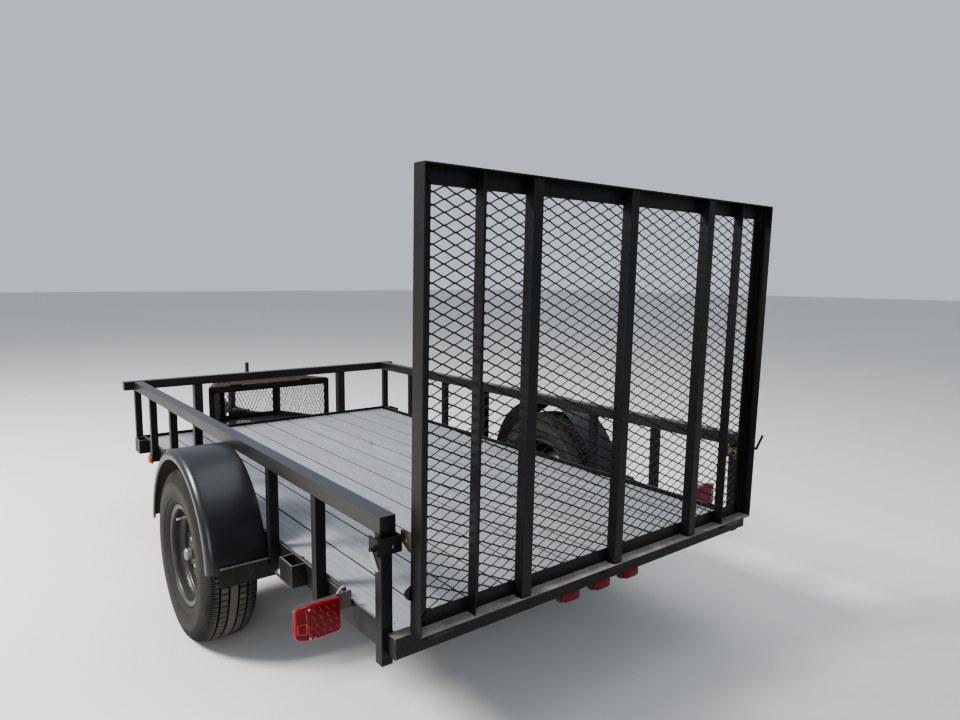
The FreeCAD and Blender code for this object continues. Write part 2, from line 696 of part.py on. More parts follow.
# hinged lid: flat-bar rim with mesh
lid_gap = 1.0
lid_z = top_z + lid_gap
lid_ring = inset(ring, 4.0)
lid_in = inset(ring, 34.0)
lid_pts = [Vector(p.x, p.y - (8.0 if abs(p.y - lid_ring[0].y) < 1 or abs(p.y - lid_ring[3].y) < 1 else 0.0), 0)
           for p in lid_ring]
lid_rim = ring_solid(lid_pts, lid_in, lid_z, 4.0)
keep("basket_lid", shaped("basket lid rim", lid_rim))
lid_mesh_pts = inset(ring, 34.0)
lid_mesh = Part.Face(Part.makePolygon(
    [Vector(p.x, p.y, lid_z) for p in lid_mesh_pts + [lid_mesh_pts[0]]])).extrude(
        Vector(0, 0, val("basket_mesh")))
keep("basket_lid_mesh", shaped("basket lid mesh", lid_mesh))
lid_axis_y, lid_axis_z = by0 - 6.0, lid_z + 6.0
for sign, word in ((1, "left"), (-1, "right")):
    mid = sign * 250.0
    pin_rod = rod("lid hinge %s pin" % word, 3.0, 76.0,
                  Vector(mid - 38.0, lid_axis_y, lid_axis_z), X1)
    ears = [block("lid hinge %s ear %d" % (word, k), (10.0, 8.0, 12.0),
                  Vector(mid + (-38.0 if k == 1 else 28.0), lid_axis_y - 4.0, top_z))
            for k in (1, 2)]
    keep("basket_hinges", fuse("basket lid hinge %s" % word, [pin_rod] + ears))
    sleeve = rod("lid %s sleeve blank" % word, 5.4, 50.0,
                 Vector(mid - 25.0, lid_axis_y, lid_axis_z), X1)
    leaf_tab = block("lid %s hinge leaf" % word, (50.0, 26.0, 3.0),
                     Vector(mid - 25.0, lid_axis_y - 26.0, lid_z + 4.0))
    hole = rod("lid %s sleeve bore" % word, 3.08, 60.0,
               Vector(mid - 30.0, lid_axis_y, lid_axis_z), X1)
    keep("basket_lid_hinges", cut("lid %s hinge" % word,
                                  fuse("lid %s hinge blank" % word, [sleeve, leaf_tab]), hole))

# --------------------------------------------------------------- ramp gate
gh, gt_, gl, gw = val("gate_half"), val("gate_tall"), val("gate_leg"), val("gate_wall")
gz = val("gate_bottom_z")
gate_blocks = []


def frame_of_angle():
    # four mitred angles: face legs in the mesh plane, outer legs to the rear
    outer_pts = [(-gh, gz), (gh, gz), (gh, gz + gt_), (-gh, gz + gt_)]
    inner_pts = [(-gh + gl, gz + gl), (gh - gl, gz + gl),
                 (gh - gl, gz + gt_ - gl), (-gh + gl, gz + gt_ - gl)]
    thin_pts = [(-gh + gw, gz + gw), (gh - gw, gz + gw),
                (gh - gw, gz + gt_ - gw), (-gh + gw, gz + gt_ - gw)]

    def face(pts):
        ring3 = [Vector(p[0], yy(0.0), p[1]) for p in pts]
        return Part.Face(Part.makePolygon(ring3 + [ring3[0]]))
    flat = face(outer_pts).cut(face(inner_pts)).extrude(Vector(0, gw, 0))
    rim = face(outer_pts).cut(face(thin_pts)).extrude(Vector(0, gl, 0))
    return flat.fuse(rim).removeSplitter()


keep("gate_frame", shaped("gate frame", frame_of_angle()))
GATE_TUBES = [
    # name, centre in X
    ("left", 427.0),
    ("middle", 0.0),
    ("right", -427.0),
]
gs = val("gate_tube")
inner_tall = "sizes.gate_tall - 2 * sizes.gate_wall"
for name, mid in GATE_TUBES:
    keep("gate_uprights", square_tube(
        "gate %s tube" % name, "gate_tube", "gate_tube_wall", inner_tall,
        Placement(Vector(mid - gs / 2, yy(0.0) + gw + 0.2, gz + gw), Rotation())))
GATE_RIBS = [
    # name, heel in X; the face legs run to the right
    ("left", 628.0),
    ("right", -628.0),
]
for name, heel in GATE_RIBS:
    # local X to the rear, local Y along the mesh, local Z up
    where = axes(Vector(heel, yy(0.0) + gw + 0.2, gz + gw), Y1, -X1)
    rib = angle_bar("gate %s rib" % name, "gate_rib", "gate_rib", "gate_rib_wall",
                    inner_tall, where)
    keep("gate_uprights", rib)

# mesh panel on the front face
lap, mt = val("mesh_lap"), val("mesh_thick")
keep("gate_mesh", block("gate mesh",
                        (2 * (gh - lap), mt, gt_ - 2 * lap),
                        Vector(-gh + lap, yy(0.0) - mt, gz + lap),
                        exprs={"Length": "2 * (sizes.gate_half - sizes.mesh_lap)",
                               "Width": "sizes.mesh_thick",
                               "Height": "sizes.gate_tall - 2 * sizes.mesh_lap"}))

# hinges: lugs and pins on the trailer, sleeves on the gate
hy, hz = yy(val("hinge_y")), val("hinge_z")
sl = val("hinge_sleeve_long")
lug = val("hinge_lug_thick")
HINGES = [
    # name, centre in X
    ("left", 730.0),
    ("middle", 0.0),
    ("right", -730.0),
]
for name, mid in HINGES:
    sleeve = rod("gate %s hinge sleeve blank" % name, val("hinge_sleeve_r"), sl,
                 Vector(mid - sl / 2, hy, hz), X1, "sizes.hinge_sleeve_r",
                 "sizes.hinge_sleeve_long")
    saddle = block("gate %s hinge saddle" % name, (sl, 22.0, gz - hz),
                   Vector(mid - sl / 2, hy - 11.0, hz))
    hole = rod("gate %s hinge bore" % name, val("hinge_bore_r"), sl + 2,
               Vector(mid - sl / 2 - 1, hy, hz), X1, "sizes.hinge_bore_r")
    keep("gate_hinges", cut("gate %s hinge" % name,
                            fuse("gate %s hinge blank" % name, [sleeve, saddle]), hole))
    bits = []
    for sign in (-1, 1):
        x0 = mid + sign * (sl / 2 + 3.0) - (lug if sign < 0 else 0.0)
        # lug plate from the rear member to past the pin
        face_y = yy(val("rear_face"))
        pts = [(face_y, hz - 20.0), (face_y, hz + 2.0), (hy - 8.0, hz + 9.5),
               (hy + 3.0, hz + 10.0), (hy + 9.0, hz + 5.0), (hy + 10.0, hz - 3.0),
               (hy + 5.0, hz - 10.0), (face_y + 10.0, hz - 20.0)]
        # Y and Z run along local X and Y, so the plate grows towards +X
        bits.append(shaped("hinge lug %s %s" % (name, "a" if sign < 0 else "b"),
                           prism(pts, lug, Vector(x0, 0, 0), Y1, UP)))
    bits.append(rod("hinge pin %s" % name, val("hinge_pin_r"), sl + 2 * lug + 14.0,
                    Vector(mid - sl / 2 - lug - 7.0, hy, hz), X1, "sizes.hinge_pin_r"))
    keep("hinge_lugs", fuse("trailer %s hinge" % name, bits))

# strike plates on the gate, beside the latch housings
for sign, word in ((1, "left"), (-1, "right")):
    x0 = sign * 811.0
    outline = [(yy(-62.2), gz + 278.0), (yy(-62.2), gz + 250.0), (yy(-24.0), gz + 228.0),
               (yy(-2.2), gz + 228.0), (yy(-2.2), gz + 272.0), (yy(-9.0), gz + 278.0)]
    strike = shaped("gate %s strike blank" % word,
                    prism(outline, 8.0, Vector(x0 - (0 if sign > 0 else 8.0), 0, 0), Y1, UP))
    eye = rod("gate %s strike eye" % word, 8.0, 40.0,
              Vector(x0 - 20.0, yy(-37.8), gz + 253.0), X1)
    keep("gate_strikes", cut("gate %s strike" % word, strike, eye))

# --------------------------------------------------------------- latches
lx0, lx1 = 832.6, 908.0
lz0, lz1 = gz + 230.0, gz + 277.0
back, front = yy(-27.0), yy(-79.0)
bolt_y, bolt_z = yy(-37.8), gz + 253.0
lt_ = 4.0
web_ = block("left latch web", (lx1 - lx0, lt_, lz1 - lz0), Vector(lx0, back - lt_, lz0))
ear_a = block("left latch inner ear", (lt_, back - front, lz1 - lz0), Vector(lx0, front, lz0))
ear_b = block("left latch outer ear", (lt_, back - front, lz1 - lz0), Vector(lx1 - lt_, front, lz0))
window = block("left latch window", (11.0, 20.0, 11.0), Vector(857.0, back - 10.0, bolt_z - 9.0))
housing = cut("left latch housing", fuse("left latch blank", [web_, ear_a, ear_b]), window)
bolt = rod("left latch bolt", 6.0, 96.0, Vector(lx0 + 0.5, bolt_y, bolt_z), X1)
collar = rod("left latch collar", 9.0, 6.0, Vector(lx1 + 2.0, bolt_y, bolt_z), X1)
grip = rod("left latch handle", 5.0, 66.0, Vector(lx0 + 92.0, bolt_y, bolt_z + 2.0),
           Vector(-20.0, 0.0, -60.0))
seat_a = block("left latch outer seat", (lx1 - lt_ - val("rail_half"), 22.0, 30.0),
               Vector(val("rail_half"), yy(-74.0), lz0 + 8.0))
seat_b = block("left latch inner seat", (half - lx0 - lt_, 22.0, 30.0),
               Vector(lx0 + lt_, yy(-74.0), lz0 + 8.0))
latch = fuse("left spring latch", [housing, bolt, collar, grip, seat_a, seat_b])
keep("latches", latch)
bolt_r = rod("right latch bolt", 6.0, 128.0, Vector(lx0 + 0.5, bolt_y, bolt_z), X1)
collar_r = rod("right latch collar", 10.0, 14.0, Vector(lx1 + 30.0, bolt_y, bolt_z), X1)
bend_r = rod("right latch bend", 5.5, 30.0, Vector(lx0 + 124.0, bolt_y, bolt_z),
             Vector(3.0, 26.0, 5.0))
grip_r = rod("right latch handle", 5.0, 70.0, Vector(lx0 + 127.0, bolt_y + 24.0, bolt_z + 2.0),
             Vector(0.0, 26.0, 64.0))
latch_r = fuse("right spring latch blank", [housing, bolt_r, collar_r, bend_r, grip_r, seat_a, seat_b])
keep("latches", mirrored("right spring latch", latch_r))

# ----------------------------------------------------------------- lights
tl_x0, tl_x1 = 905.0, 1050.0
tl_z0, tl_z1 = gz - 82.0, gz + 30.0
tl_y = yy(-260.0)
light = block("left tail light box", (tl_x1 - tl_x0, 30.0, tl_z1 - tl_z0),
              Vector(tl_x0, tl_y - 30.0, tl_z0))
keep("tail_lights", light)
keep("tail_lights", mirrored("right tail light box", light))
arm = block("left light bracket", (tl_x1 - 24.0 - half, 4.0, 54.0),
            Vector(half, tl_y - 34.2, low + 59.0))
keep("light_brackets", arm)
keep("light_brackets", mirrored("right light bracket", arm))
for i, mid in enumerate((157.0, 0.0, -157.0)):
    keep("light_bar", block("rear lamp %d" % (i + 1), (96.0, 20.0, 46.0),
                            Vector(mid - 48.0, yy(-54.0), rear_low - 46.0)))
marker = block("left side marker", (20.0, 60.0, 46.0),
               Vector(val("rail_half"), yy(-2640.0) - val("post_side") / 2 - 30.0, low - 4.0))
keep("side_markers", marker)
keep("side_markers", mirrored("right side marker", marker))

# ----------------------------------------------------- axle and suspension
ay = yy(val("axle_y"))
ar = val("tyre_r")
tube_z = ar - val("axle_drop")
tr = val("axle_tube_r")
wx = val("wheel_x")
arm_x = val("axle_arm_x")
beam = rod("axle beam", tr, 2 * (arm_x + 6.0), Vector(-arm_x - 6.0, ay, tube_z), X1,
           "sizes.axle_tube_r", "2 * sizes.axle_arm_x + 12")
bits = [beam]
for sign in (-1, 1):
    arm_pts = [(-34.0, tube_z - tr), (34.0, tube_z - tr), (34.0, ar + 22.0), (-34.0, ar + 22.0)]
    x0 = arm_x if sign > 0 else -arm_x - 22.0
    bits.append(shaped("drop arm %s" % ("left" if sign > 0 else "right"),
                       prism([(ay + p[0], p[1]) for p in arm_pts], 22.0, Vector(x0, 0, 0), Y1, UP)))
    bits.append(rod("spindle %s" % ("left" if sign > 0 else "right"), val("spindle_r"), 146.0,
                    Vector(sign * (arm_x + 21.0), ay, ar), Vector(sign, 0, 0), "sizes.spindle_r"))
keep("axle", fuse("drop axle", bits))

sx, sw, lt = val("spring_x"), val("spring_wide"), val("leaf_thick")
seat_z = tube_z + tr + 6.0
spring_bits = []
span = val("spring_span")
LEAVES = [
    # number from the bottom, half length
    (0, 130.0),
    (1, 190.0),
    (2, 250.0),
    (3, 306.0),
]
sag = 34.0
radius = (span / 2) ** 2 / (2 * sag) + sag / 2


def leaf(z_mid, reach):
    """Curved leaf, low in the middle; the ends rise."""
    rin = radius
    rout = radius + lt
    cz = z_mid + radius + lt
    a = math.asin(reach / radius)

    def at(r, ang):
        return Vector(0, ay + r * math.sin(ang), cz - r * math.cos(ang))
    edges = [Part.Arc(at(rout, -a), at(rout, 0), at(rout, a)).toShape(),
             Part.LineSegment(at(rout, a), at(rin, a)).toShape(),
             Part.Arc(at(rin, a), at(rin, 0), at(rin, -a)).toShape(),
             Part.LineSegment(at(rin, -a), at(rout, -a)).toShape()]
    face = Part.Face(Part.Wire(edges))
    face.translate(Vector(sx - sw / 2, 0, 0))
    return face.extrude(Vector(sw, 0, 0))


stack = None
for number, reach in LEAVES:
    piece = leaf(seat_z + number * lt, reach)
    stack = piece if stack is None else stack.fuse(piece)
top_mid = seat_z + 3 * lt
cz = top_mid + radius + lt
a_end = math.asin(306.0 / radius)
eye_pts = []
for sign in (-1, 1):
    ey = ay + sign * (span / 2)
    ez = cz - radius * math.cos(a_end) + 12.0
    eye_pts.append((ey, ez))
    eye = Part.makeCylinder(20.0, sw, Vector(sx - sw / 2, ey, ez), X1)
    stack = stack.fuse(eye)
for ey, ez in eye_pts:
    stack = stack.cut(Part.makeCylinder(8.0, sw + 4, Vector(sx - sw / 2 - 2, ey, ez), X1))
leaf_left = shaped("left leaf spring", stack.removeSplitter())
keep("leaf_springs", leaf_left)
keep("leaf_springs", mirrored("right leaf spring", leaf_left))

# hangers, shackles and axle clamp
hang = []
for i, (ey, ez) in enumerate(eye_pts):
    for side in (-1, 1):
        x0 = sx + side * (sw / 2 + 0.6) - (5.0 if side < 0 else 0.0)
        pts = [(ey - 26.0, low), (ey + 26.0, low), (ey + 18.0, ez - 14.0), (ey - 18.0, ez - 14.0)]
        hang.append(shaped("hanger plate %d%s" % (i, "a" if side < 0 else "b"),
                           prism(pts, 5.0, Vector(x0, 0, 0), Y1, UP)))
    hang.append(rod("hanger bolt %d" % i, 7.8, sw + 30.0, Vector(sx - sw / 2 - 15.0, ey, ez), X1))
hang_a = fuse("left front spring hanger", hang[0:3])
hang_b = fuse("left rear spring hanger", hang[3:6])
clamp_parts = [block("left spring seat", (sw + 28.0, 90.0, 6.0), Vector(sx - sw / 2 - 14.0, ay - 45.0, seat_z - 6.0)),
               block("left spring plate", (sw + 28.0, 90.0, 8.0),
                     Vector(sx - sw / 2 - 14.0, ay - 45.0, seat_z + 4 * lt + 1.2))]
for side in (-1, 1):
    for run_y in (-1, 1):
        clamp_parts.append(rod("left clamp bolt %d%d" % (side, run_y), 5.0, 120.0,
                               Vector(sx + side * (sw / 2 + 6.5), ay + run_y * 36.0, tube_z - tr - 12.0), UP))
clamp_parts.append(block("left clamp bar", (sw + 28.0, 90.0, 7.0),
                         Vector(sx - sw / 2 - 14.0, ay - 45.0, tube_z - tr - 8.0)))
clamp_blank = fuse("left clamp blank", clamp_parts)
beam_gap = rod("left clamp beam gap", tr, 200.0, Vector(sx - 100.0, ay, tube_z), X1)
clamp = cut("left spring clamp", clamp_blank, beam_gap)
for node, item, word in (("spring_mounts", hang_a, "front hanger"),
                         ("spring_mounts", hang_b, "rear hanger"),
                         ("spring_mounts", clamp, "clamp")):
    keep(node, item)
    keep("spring_mounts", mirrored("right " + word, item))

# ------------------------------------------------------------------ wheels
rr, rw = val("rim_r"), val("rim_wide")
tw_ = val("tyre_wide")


def revolve_x(points, where_x):
    """Ring about the X axis from (x, r) points."""
    wire = Part.makePolygon([Vector(p[0], p[1], 0) for p in points]
                            + [Vector(points[0][0], points[0][1], 0)])
    solid = Part.Face(wire).revolve(Vector(0, 0, 0), X1, 360.0)
    solid.translate(where_x)
    return solid


tyre_half = [(0.0, 353.0), (42.0, 352.0), (74.0, 347.0), (86.0, 340.0), (97.0, 324.0),
             (105.0, 296.0), (107.0, 266.0), (101.0, 232.0), (88.0, 209.0), (79.3, 207.0),
             (77.2, 191.6)]
grow = ar / 353.0
tyre_half = [(x * tw_ / 214.0, r * grow if r > 240 else r) for x, r in tyre_half]
tyre_pts = [(-x, r) for x, r in reversed(tyre_half)] + tyre_half[1:]
rim_half = [(30.0, 170.0), (42.0, 187.0), (73.0, 189.5), (78.0, 191.0), (80.0, 207.0),
            (86.0, 207.0), (86.0, 191.0), (80.0, 185.5), (46.0, 182.5), (34.0, 165.0)]
rim_pts = ([(-x, r) for x, r in reversed(rim_half[:5])] + rim_half[:5]
           + rim_half[5:] + [(-x, r) for x, r in reversed(rim_half[5:])])
disc_pts = [(6.0, 42.0), (6.0, 82.0), (18.0, 96.0), (26.0, 128.0), (17.0, 151.0), (2.0, 164.5),
            (10.0, 164.5), (23.0, 153.0), (32.0, 130.0), (24.0, 92.0), (12.0, 78.0), (12.0, 42.0)]
LUGS = 5
LUG_START = math.radians(50.5)
VENTS = 5
VENT_START = math.radians(14.5)


def wheel_side(sign, word):
    centre = Vector(sign * wx, ay, ar)

    def flip(points):
        return [(sign * p[0], p[1]) for p in points]
    tyre = shaped("%s tyre" % word, revolve_x(flip(tyre_pts), centre))
    rim = revolve_x(flip(rim_pts), centre)
    disc = revolve_x(flip(disc_pts), centre)
    rim = rim.fuse(disc)
    tools = []
    for i in range(VENTS):
        ang = VENT_START + 2 * math.pi * i / VENTS
        tools.append(Part.makeCylinder(
            17.0, 90.0, centre + Vector(-45.0, 131.0 * math.cos(ang), 131.0 * math.sin(ang)), X1))
    for i in range(LUGS):
        ang = LUG_START + 2 * math.pi * i / LUGS
        tools.append(Part.makeCylinder(
            7.2, 60.0, centre + Vector(-30.0, 57.15 * math.cos(ang), 57.15 * math.sin(ang)), X1))
    rim = rim.cut(tools).removeSplitter()
    rim_obj = shaped("%s wheel rim" % word, rim)
    hub_pts = [(-82.0, 19.08), (-82.0, 58.0), (-40.0, 58.0), (-12.0, 70.0), (5.6, 72.0),
               (5.6, 41.0), (34.0, 41.0), (38.0, 37.0), (42.0, 25.5), (46.0, 24.5), (74.0, 24.0),
               (79.0, 20.0), (81.0, 0.01), (46.0, 0.01), (46.0, 19.08)]
    hub_solid = revolve_x(flip(hub_pts), centre)
    for i in range(LUGS):
        ang = LUG_START + 2 * math.pi * i / LUGS
        mid = centre + Vector(sign * 3.0, 57.15 * math.cos(ang), 57.15 * math.sin(ang))
        stud = Part.makeCylinder(6.3, 44.0, mid, Vector(sign, 0, 0))
        hub_solid = hub_solid.fuse(stud)
    hub_obj = shaped("%s hub" % word, hub_solid)
    keep("tyre_" + word, tyre)
    keep("rim_" + word, rim_obj)
    keep("hub_" + word, hub_obj)


wheel_side(1, "left")
wheel_side(-1, "right")

doc.recompute()

# the shut gate leans back about its hinge line
lean = Placement(Vector(0, 0, 0), Rotation(X1, -val("gate_lean")), Vector(0, hy, hz))
for node, objs in NODES.items():
    if node.startswith("gate_"):
        for obj in objs:
            obj.Placement = lean.multiply(obj.Placement)
doc.recompute()

# ------------------------------------------------------------------- write
bad = [o.Label for o in doc.Objects if "Invalid" in o.State or "Error" in o.State]
if bad:
    raise SystemExit("not solved: " + ", ".join(bad))
os.makedirs("parts", exist_ok=True)
lo = [1e9] * 3
hi = [-1e9] * 3
volume = 0.0
for node, objs in NODES.items():
    shapes = []
    for obj in objs:
        shape = obj.Shape
        if shape.isNull() or not shape.isValid():
            raise SystemExit("bad shape in " + node + ": " + obj.Label)
        shapes.extend(shape.Solids)
    if not shapes:
        raise SystemExit("no solid in " + node)
    out = shapes[0] if len(shapes) == 1 else Part.makeCompound(shapes)
    out.exportStep("parts/%s.step" % node)
    box = out.BoundBox
    volume += out.Volume
    for i, (a, b) in enumerate(((box.XMin, box.XMax), (box.YMin, box.YMax), (box.ZMin, box.ZMax))):
        lo[i] = min(lo[i], a)
        hi[i] = max(hi[i], b)
print("nodes", len(NODES), "solids", sum(len(o) for o in NODES.values()))
print("box", [round(x, 2) for x in lo], [round(x, 2) for x in hi])
print("volume m3", round(volume / 1e9, 5))
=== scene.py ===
import json
import math

import bmesh
import bpy
from mathutils import Matrix, Vector


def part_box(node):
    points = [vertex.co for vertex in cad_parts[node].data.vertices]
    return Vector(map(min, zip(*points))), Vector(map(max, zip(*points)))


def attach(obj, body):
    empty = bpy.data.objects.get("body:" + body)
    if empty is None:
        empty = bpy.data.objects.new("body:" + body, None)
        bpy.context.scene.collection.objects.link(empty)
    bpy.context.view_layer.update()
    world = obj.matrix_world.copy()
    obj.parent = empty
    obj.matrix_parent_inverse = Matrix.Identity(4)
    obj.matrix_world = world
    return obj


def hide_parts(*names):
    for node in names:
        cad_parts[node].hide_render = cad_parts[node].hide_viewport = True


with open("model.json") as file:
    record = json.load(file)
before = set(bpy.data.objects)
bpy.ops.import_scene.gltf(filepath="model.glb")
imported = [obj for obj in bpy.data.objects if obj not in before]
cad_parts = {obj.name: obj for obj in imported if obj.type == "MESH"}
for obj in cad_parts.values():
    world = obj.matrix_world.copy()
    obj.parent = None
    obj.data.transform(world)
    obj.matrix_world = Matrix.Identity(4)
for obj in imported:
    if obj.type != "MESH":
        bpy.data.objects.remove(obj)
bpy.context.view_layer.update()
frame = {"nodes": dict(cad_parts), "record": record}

# ------------------------------------------------------------------ places
YS = 2.06295                      # bed coordinates to model coordinates
GATE_Z = 0.501                    # underside of the gate
HINGE = Vector((0.0, 0.022 + YS, 0.487))
LEAN = Matrix.Translation(HINGE) @ Matrix.Rotation(math.radians(-1.08), 4, "X") @ Matrix.Translation(-HINGE)
FRAME_HALF, FRAME_LOW, FRAME_TOP = 0.8535, 0.412, 0.494
DECK = FRAME_TOP - 0.018
RAIL_TOP, RAIL_HALF, RAIL = 0.832, 0.889, 0.0508
AXLE_Y, AXLE_Z, WHEEL_X = -1.310 + YS, 0.353, 0.994
FEN_Y, FEN_Z, FEN_R, FEN_IN, FEN_OUT = -1.300 + YS, 0.379, 0.411, 0.890, 1.108
POSTS = [-3.016, -2.640, -2.2125, -1.776, -0.8607, -0.4644, -0.0446]
POST = 0.0355
B_REAR, B_FRONT, B_HALF, B_NOSE = -3.095 + YS, -3.555 + YS, 0.431, 0.2165
B_LOW, B_TOP = 0.412, 0.739
JACK_Y = -3.948 + YS
FRONT_Y = -3.0393 + YS


# --------------------------------------------------------------- materials
class Nodes:
    """A short way to wire a material."""

    def __init__(self, name):
        self.mat = bpy.data.materials.new(name)
        self.mat.use_nodes = True
        self.tree = self.mat.node_tree
        self.tree.nodes.clear()
        self.out = self.tree.nodes.new("ShaderNodeOutputMaterial")
        self.bsdf = self.tree.nodes.new("ShaderNodeBsdfPrincipled")
        self.tree.links.new(self.bsdf.outputs[0], self.out.inputs[0])
        self.tc = self.tree.nodes.new("ShaderNodeTexCoord")

    def link(self, a, b):
        self.tree.links.new(a, b)

    def put(self, sock, value):
        if isinstance(value, bpy.types.NodeSocket):
            self.link(value, sock)
        elif isinstance(value, (tuple, list)) and len(value) == 3 and sock.type == "RGBA":
            sock.default_value = (*value, 1.0)
        else:
            sock.default_value = value

    def math(self, op, a, b=None, c=None, clamp=False):
        n = self.tree.nodes.new("ShaderNodeMath")
        n.operation, n.use_clamp = op, clamp
        for i, v in enumerate((a, b, c)):
            if v is not None:
                self.put(n.inputs[i], v)
        return n.outputs[0]

    def obj(self, scale=(1, 1, 1), move=(0, 0, 0)):
        n = self.tree.nodes.new("ShaderNodeMapping")
        self.link(self.tc.outputs["Object"], n.inputs[0])
        n.inputs["Scale"].default_value = scale
        n.inputs["Location"].default_value = move
        return n.outputs[0]

    def split(self, vec):
        n = self.tree.nodes.new("ShaderNodeSeparateXYZ")
        self.link(vec, n.inputs[0])
        return n.outputs

    def noise(self, scale, detail=6.0, rough=0.55, vec=None, distort=0.0):
        n = self.tree.nodes.new("ShaderNodeTexNoise")
        self.link(vec or self.tc.outputs["Object"], n.inputs["Vector"])
        n.inputs["Scale"].default_value = scale
        n.inputs["Detail"].default_value = detail
        n.inputs["Roughness"].default_value = rough
        n.inputs["Distortion"].default_value = distort
        return n.outputs[0]

    def ramp(self, value, stops):
        n = self.tree.nodes.new("ShaderNodeValToRGB")
        self.link(value, n.inputs[0])
        r = n.color_ramp
        while len(r.elements) < len(stops):
            r.elements.new(0.5)
        for e, (pos, col) in zip(r.elements, stops):
            e.position = pos
            if not isinstance(col, (tuple, list)):
                col = (col, col, col)
            e.color = (*col, 1.0)
        return n.outputs[0]

    def span(self, value, a, b, lo=0.0, hi=1.0):
        n = self.tree.nodes.new("ShaderNodeMapRange")
        n.clamp = True
        self.link(value, n.inputs[0])
        for i, v in enumerate((a, b, lo, hi)):
            n.inputs[i + 1].default_value = v
        return n.outputs[0]

    def mix(self, fac, a, b, mode="MIX"):
        n = self.tree.nodes.new("ShaderNodeMix")
        n.data_type, n.blend_type = "RGBA", mode
        self.put(n.inputs[0], fac)
        self.put(n.inputs[6], a)
        self.put(n.inputs[7], b)
        return n.outputs[2]

    def bump(self, height, strength, distance=0.001, normal=None):
        n = self.tree.nodes.new("ShaderNodeBump")
        n.inputs["Strength"].default_value = strength
        n.inputs["Distance"].default_value = distance
        self.link(height, n.inputs["Height"])
        if normal is not None:
            self.link(normal, n.inputs["Normal"])
        return n.outputs[0]

    def set(self, **values):
        for key, v in values.items():
            self.put(self.bsdf.inputs[key.replace("_", " ")], v)
        return self.mat


DUST = (0.215, 0.170, 0.120)
RUST = (0.085, 0.036, 0.017)


